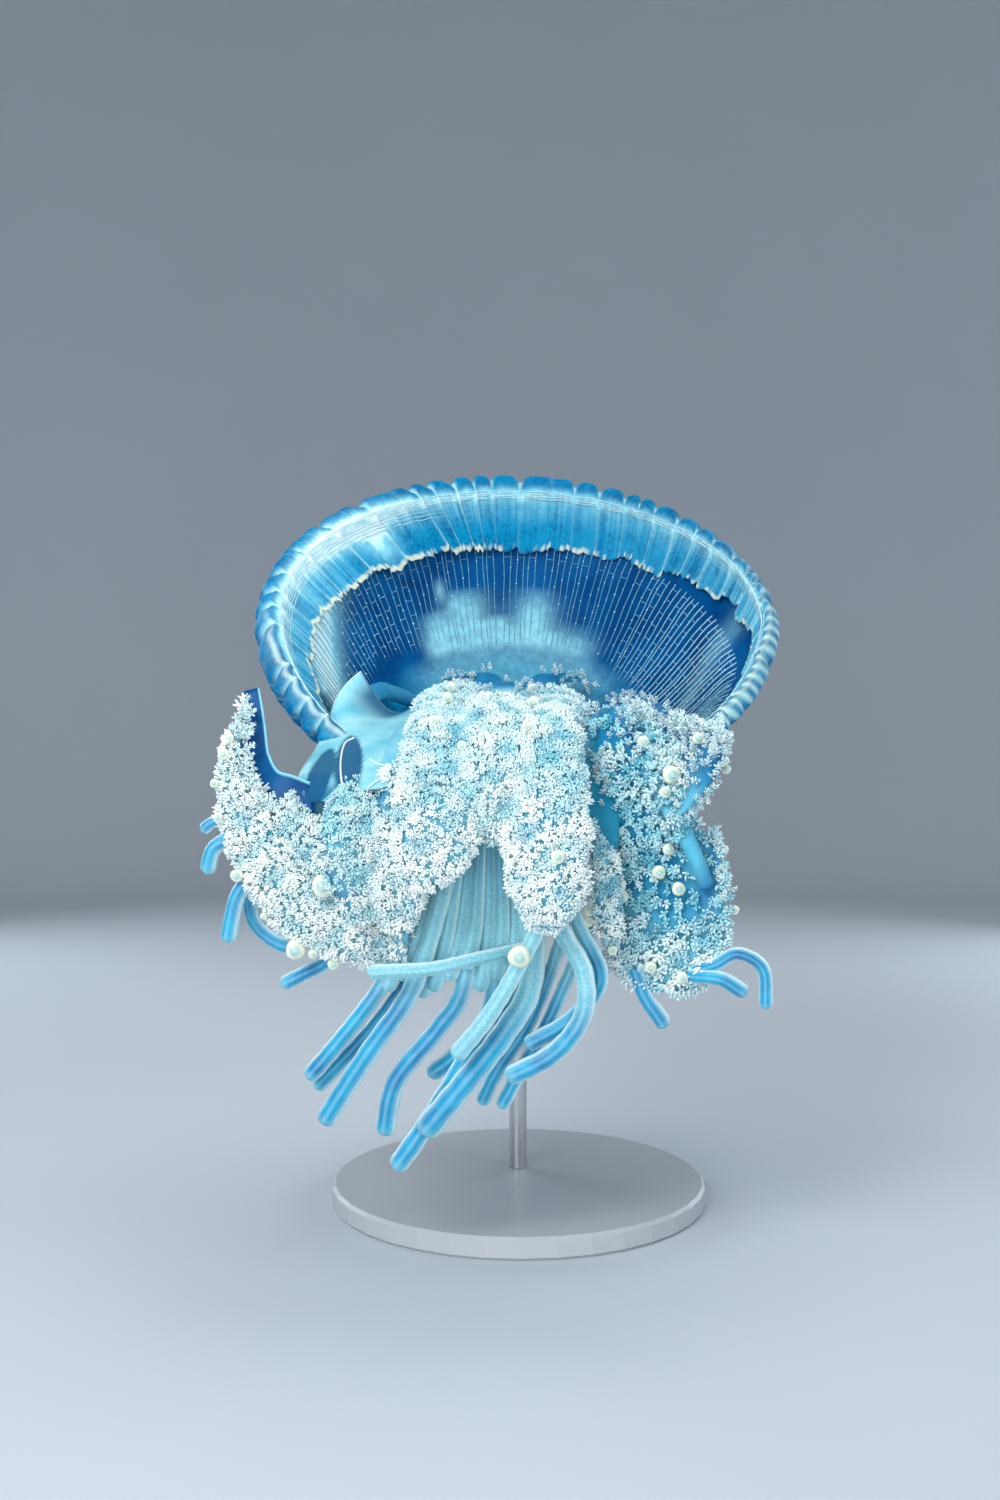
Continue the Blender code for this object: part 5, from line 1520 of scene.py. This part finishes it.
# How bright the pale lines are round a tube, repeated twice. The strong ones fall on the tube's two sides as
# seen from the front and are painted highlights along its edges; the faint ones are its own fine lines.
TUBE_LINES_AND_EDGE_GLOW = (1.0, 1.0, 0.25, 0.0, 0.22, 0.0, 0.25, 1.0)
FILAMENT_STEP, FILAMENT_END, CANAL_SHARE = 1.6 * MM, 0.05 * MM, 0.4


def striped_tube(route, size, milk, tip):
    """A tube with pale lines along it, the brightest being painted highlights on its two sides as seen from
    the front.
    """
    verts, faces, row = tube_mesh(route[None], size[None], 2 * len(TUBE_LINES_AND_EDGE_GLOW), up=(0.3, 1.0, 0.1))
    stripe = np.tile(TUBE_LINES_AND_EDGE_GLOW, len(verts) // len(TUBE_LINES_AND_EDGE_GLOW))
    return verts, faces, {"milk": milk[row], "stripe": stripe, "tip": tip[row]}


def bunch_root():
    """The milky body that the filaments leave: short clear tubes before and behind a core."""
    verts, faces = Limb(np.array(BUNCH, dtype=float) * MM, (0.0, -1.0, 0.2)).mesh(sides=48)
    blank = np.zeros(len(verts))
    parts = [(verts, faces[:, ::-1], {"milk": blank + 0.12, "stripe": blank, "tip": blank})]
    for number in range(2 * BUNCH_TUBES):
        share = number % BUNCH_TUBES / (BUNCH_TUBES - 1)
        behind = BUNCH_DEPTH * (number // BUNCH_TUBES)
        top = (-50 + 48 * share, behind - 146 - 3 * (number % 2), 256)
        middle = (-64 + 68 * share, behind - 152 - 4 * (number % 2), 204)
        low = (-77 + 80 * share, behind - 154 - 4 * (number % 3), 164 + 7 * (number % 3))
        route = spline_mm((top, middle, low), 24)
        down = np.linspace(0.0, 1.0, len(route))
        size = (3.4 + 2.6 * down) * MM * np.sqrt(np.clip(1 - down ** 24, 0.01, 1.0))
        parts.append(striped_tube(route, size, 0.6 + 0.4 * smooth_step(0.15, 0.5, down), 0 * down))
    return joined(parts)


def filaments(core_paint, sheath_paint):
    """Round-tipped clear tubes, each with a pale canal inside."""
    cores, sheaths = [], []
    for number, filament in enumerate(FILAMENTS):
        route = spline_mm(filament.route, 14)
        share, length = run_of(route)
        radius = filament.radius * MM
        even = np.linspace(0, 1, max(int(length / FILAMENT_STEP), 16))
        line = resampled(route, share, even)
        line[:, 0] += np.sin(even * 9.0 + number * 1.7) * even * 0.7 * MM
        size = (0.86 + 0.14 * even) * radius * (1 + 0.03 * np.sin(even * 70.0 + number))
        left = (1 - even) * length
        round_tip = np.sqrt(np.clip(1 - (1 - np.minimum(left / radius, 1.0)) ** 2, 0.0, 1.0))
        size = np.maximum(size * np.where(left < radius, round_tip, 1.0), FILAMENT_END)
        milk = 1 - smooth_step(filament.milky - 0.15, filament.milky + 0.15, even)
        if filament.milky == 0:
            milk = 0.0 * even
        tip = smooth_step(radius * 1.3, radius * 0.3, left)
        sheaths.append(striped_tube(line, size, milk, tip))
        verts, faces, row = tube_mesh(line[None], size[None] * CANAL_SHARE, 8, up=(0.3, 1.0, 0.1))
        cores.append((verts, faces, {"milk": milk[row], "canal": 0.6 + 0.4 * tip[row]}))
    sheaths.append(bunch_root())
    nodes = [node for filament in FILAMENTS for node in filament.nodes]
    joined_piece("filament_sheaths", sheaths, sheath_paint, nodes)
    joined_piece("filament_cores", cores, core_paint)


# ---- Stage, lights and camera ------------------------------------------------------
CAMERA_PLACE = Vector((-0.0124, -0.98, 0.302))
LENS, SENSOR = 34.8, 36.0
LIGHTS_AIM = Vector((0.0, -0.03, 0.27))
STAGE_RADIUS, STAGE_HEIGHT, STAGE_COVE = 3.0, 2.6, 0.9
PLAIN_LIGHT, COOL_LIGHT = (1.0, 1.0, 1.0), (0.88, 0.95, 1.0)


def stage():
    """A pale round floor that sweeps up into a pale wall on every side."""
    cove = [(STAGE_RADIUS - STAGE_COVE * (1 - math.sin(a)), STAGE_COVE * (1 - math.cos(a)))
            for a in np.linspace(0, math.pi / 2, 14)]
    profile = np.array([(0.02, 0.0), (1.0, 0.0), *cove, (STAGE_RADIUS, STAGE_HEIGHT)])
    turn = np.linspace(0, 2 * math.pi, 96, endpoint=False)
    verts = np.stack([profile[:, :1] * np.cos(turn), profile[:, :1] * np.sin(turn),
                      np.broadcast_to(profile[:, 1:], (len(profile), len(turn)))], -1)
    faces = grid_faces(len(profile), len(turn), closed_columns=True)
    mesh = bpy.data.meshes.new("stage_sweep")
    mesh.from_pydata(verts.reshape(-1, 3).tolist(), [], [*faces[:, ::-1].tolist(), list(range(len(turn)))])
    mesh.polygons.foreach_set("use_smooth", np.full(len(mesh.polygons), True))
    paint = Paint("stage_paper", 0.9, specular=0.1)
    paint.colour(paint.mix(paint.noise(3.0), (0.50, 0.55, 0.60), (0.53, 0.58, 0.63)))
    mesh.materials.append(paint.material)
    sweep = bpy.data.objects.new("stage_sweep", mesh)
    bpy.context.scene.collection.objects.link(sweep)


def light(name, kind, place, power, aim):
    """A light that looks at a point; returns its data."""
    data = bpy.data.lights.new(name, kind)
    data.energy = power
    lamp = bpy.data.objects.new(name, data)
    lamp.location = place
    lamp.rotation_euler = (aim - lamp.location).to_track_quat("-Z", "Y").to_euler()
    bpy.context.scene.collection.objects.link(lamp)
    return data


def lights_and_camera():
    for name, place, power, size, tint in (
            ("key", (-0.75, -1.25, 1.15), 20.0, 0.7, PLAIN_LIGHT),
            ("front", (-0.15, -1.6, 0.10), 16.0, 0.9, PLAIN_LIGHT),
            ("fill", (1.4, -0.9, 0.8), 8.0, 1.2, (0.90, 0.96, 1.0)),
            ("top", (0.2, 0.3, 1.8), 9.0, 1.0, PLAIN_LIGHT),
            ("rim_left", (-1.2, 1.1, 0.7), 7.0, 0.7, COOL_LIGHT),
            ("rim_right", (1.2, 1.1, 0.5), 6.0, 0.7, COOL_LIGHT)):
        data = light(name, "AREA", place, power, LIGHTS_AIM)
        data.size, data.color = size, tint
    spot = light("inside_left", "SPOT", (0.55, -0.95, 0.62), 26.0, Vector((-0.150, 0.02, 0.395)))
    spot.spot_size, spot.spot_blend, spot.shadow_soft_size = math.radians(13.0), 1.0, 0.06

    scene = bpy.context.scene
    world = bpy.data.worlds.new("studio")
    world.use_nodes = True
    background = world.node_tree.nodes["Background"]
    background.inputs["Color"].default_value = (0.80, 0.86, 0.92, 1.0)
    background.inputs["Strength"].default_value = 0.35
    scene.world = world
    scene.view_settings.view_transform = "Standard"
    data = bpy.data.cameras.new("camera")
    data.lens, data.sensor_width = LENS, SENSOR
    camera = bpy.data.objects.new("camera", data)
    camera.location = CAMERA_PLACE
    camera.rotation_euler = (math.radians(90.0), 0.0, 0.0)
    scene.collection.objects.link(camera)
    scene.camera = camera


def build():
    lights_and_camera()
    stage()
    lines, jelly = line_paint(), bell_paint()
    bell_skin(jelly)
    crown_warts(jelly)
    bell_ribs(lines)
    ring_threads(lines)
    skin = arms_skin(flesh_paint())
    frills = frill_paint()
    for arm in (*ARMS, *WEBS):
        if arm.frill:
            coat(arm, skin, frills)
    sprigs(skin, frills)
    veil(veil_paint())
    horn_web(film_paint())
    filaments(filament_core_paint(), filament_sheath_paint())
    vesicles(skin, vesicle_paint())
    plate, steel = stand_paints()
    for node, material in (("stand_base", plate), ("stand_rod", steel), ("stand_cradle", steel)):
        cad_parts[node].data.materials.clear()
        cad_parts[node].data.materials.append(material)


build()
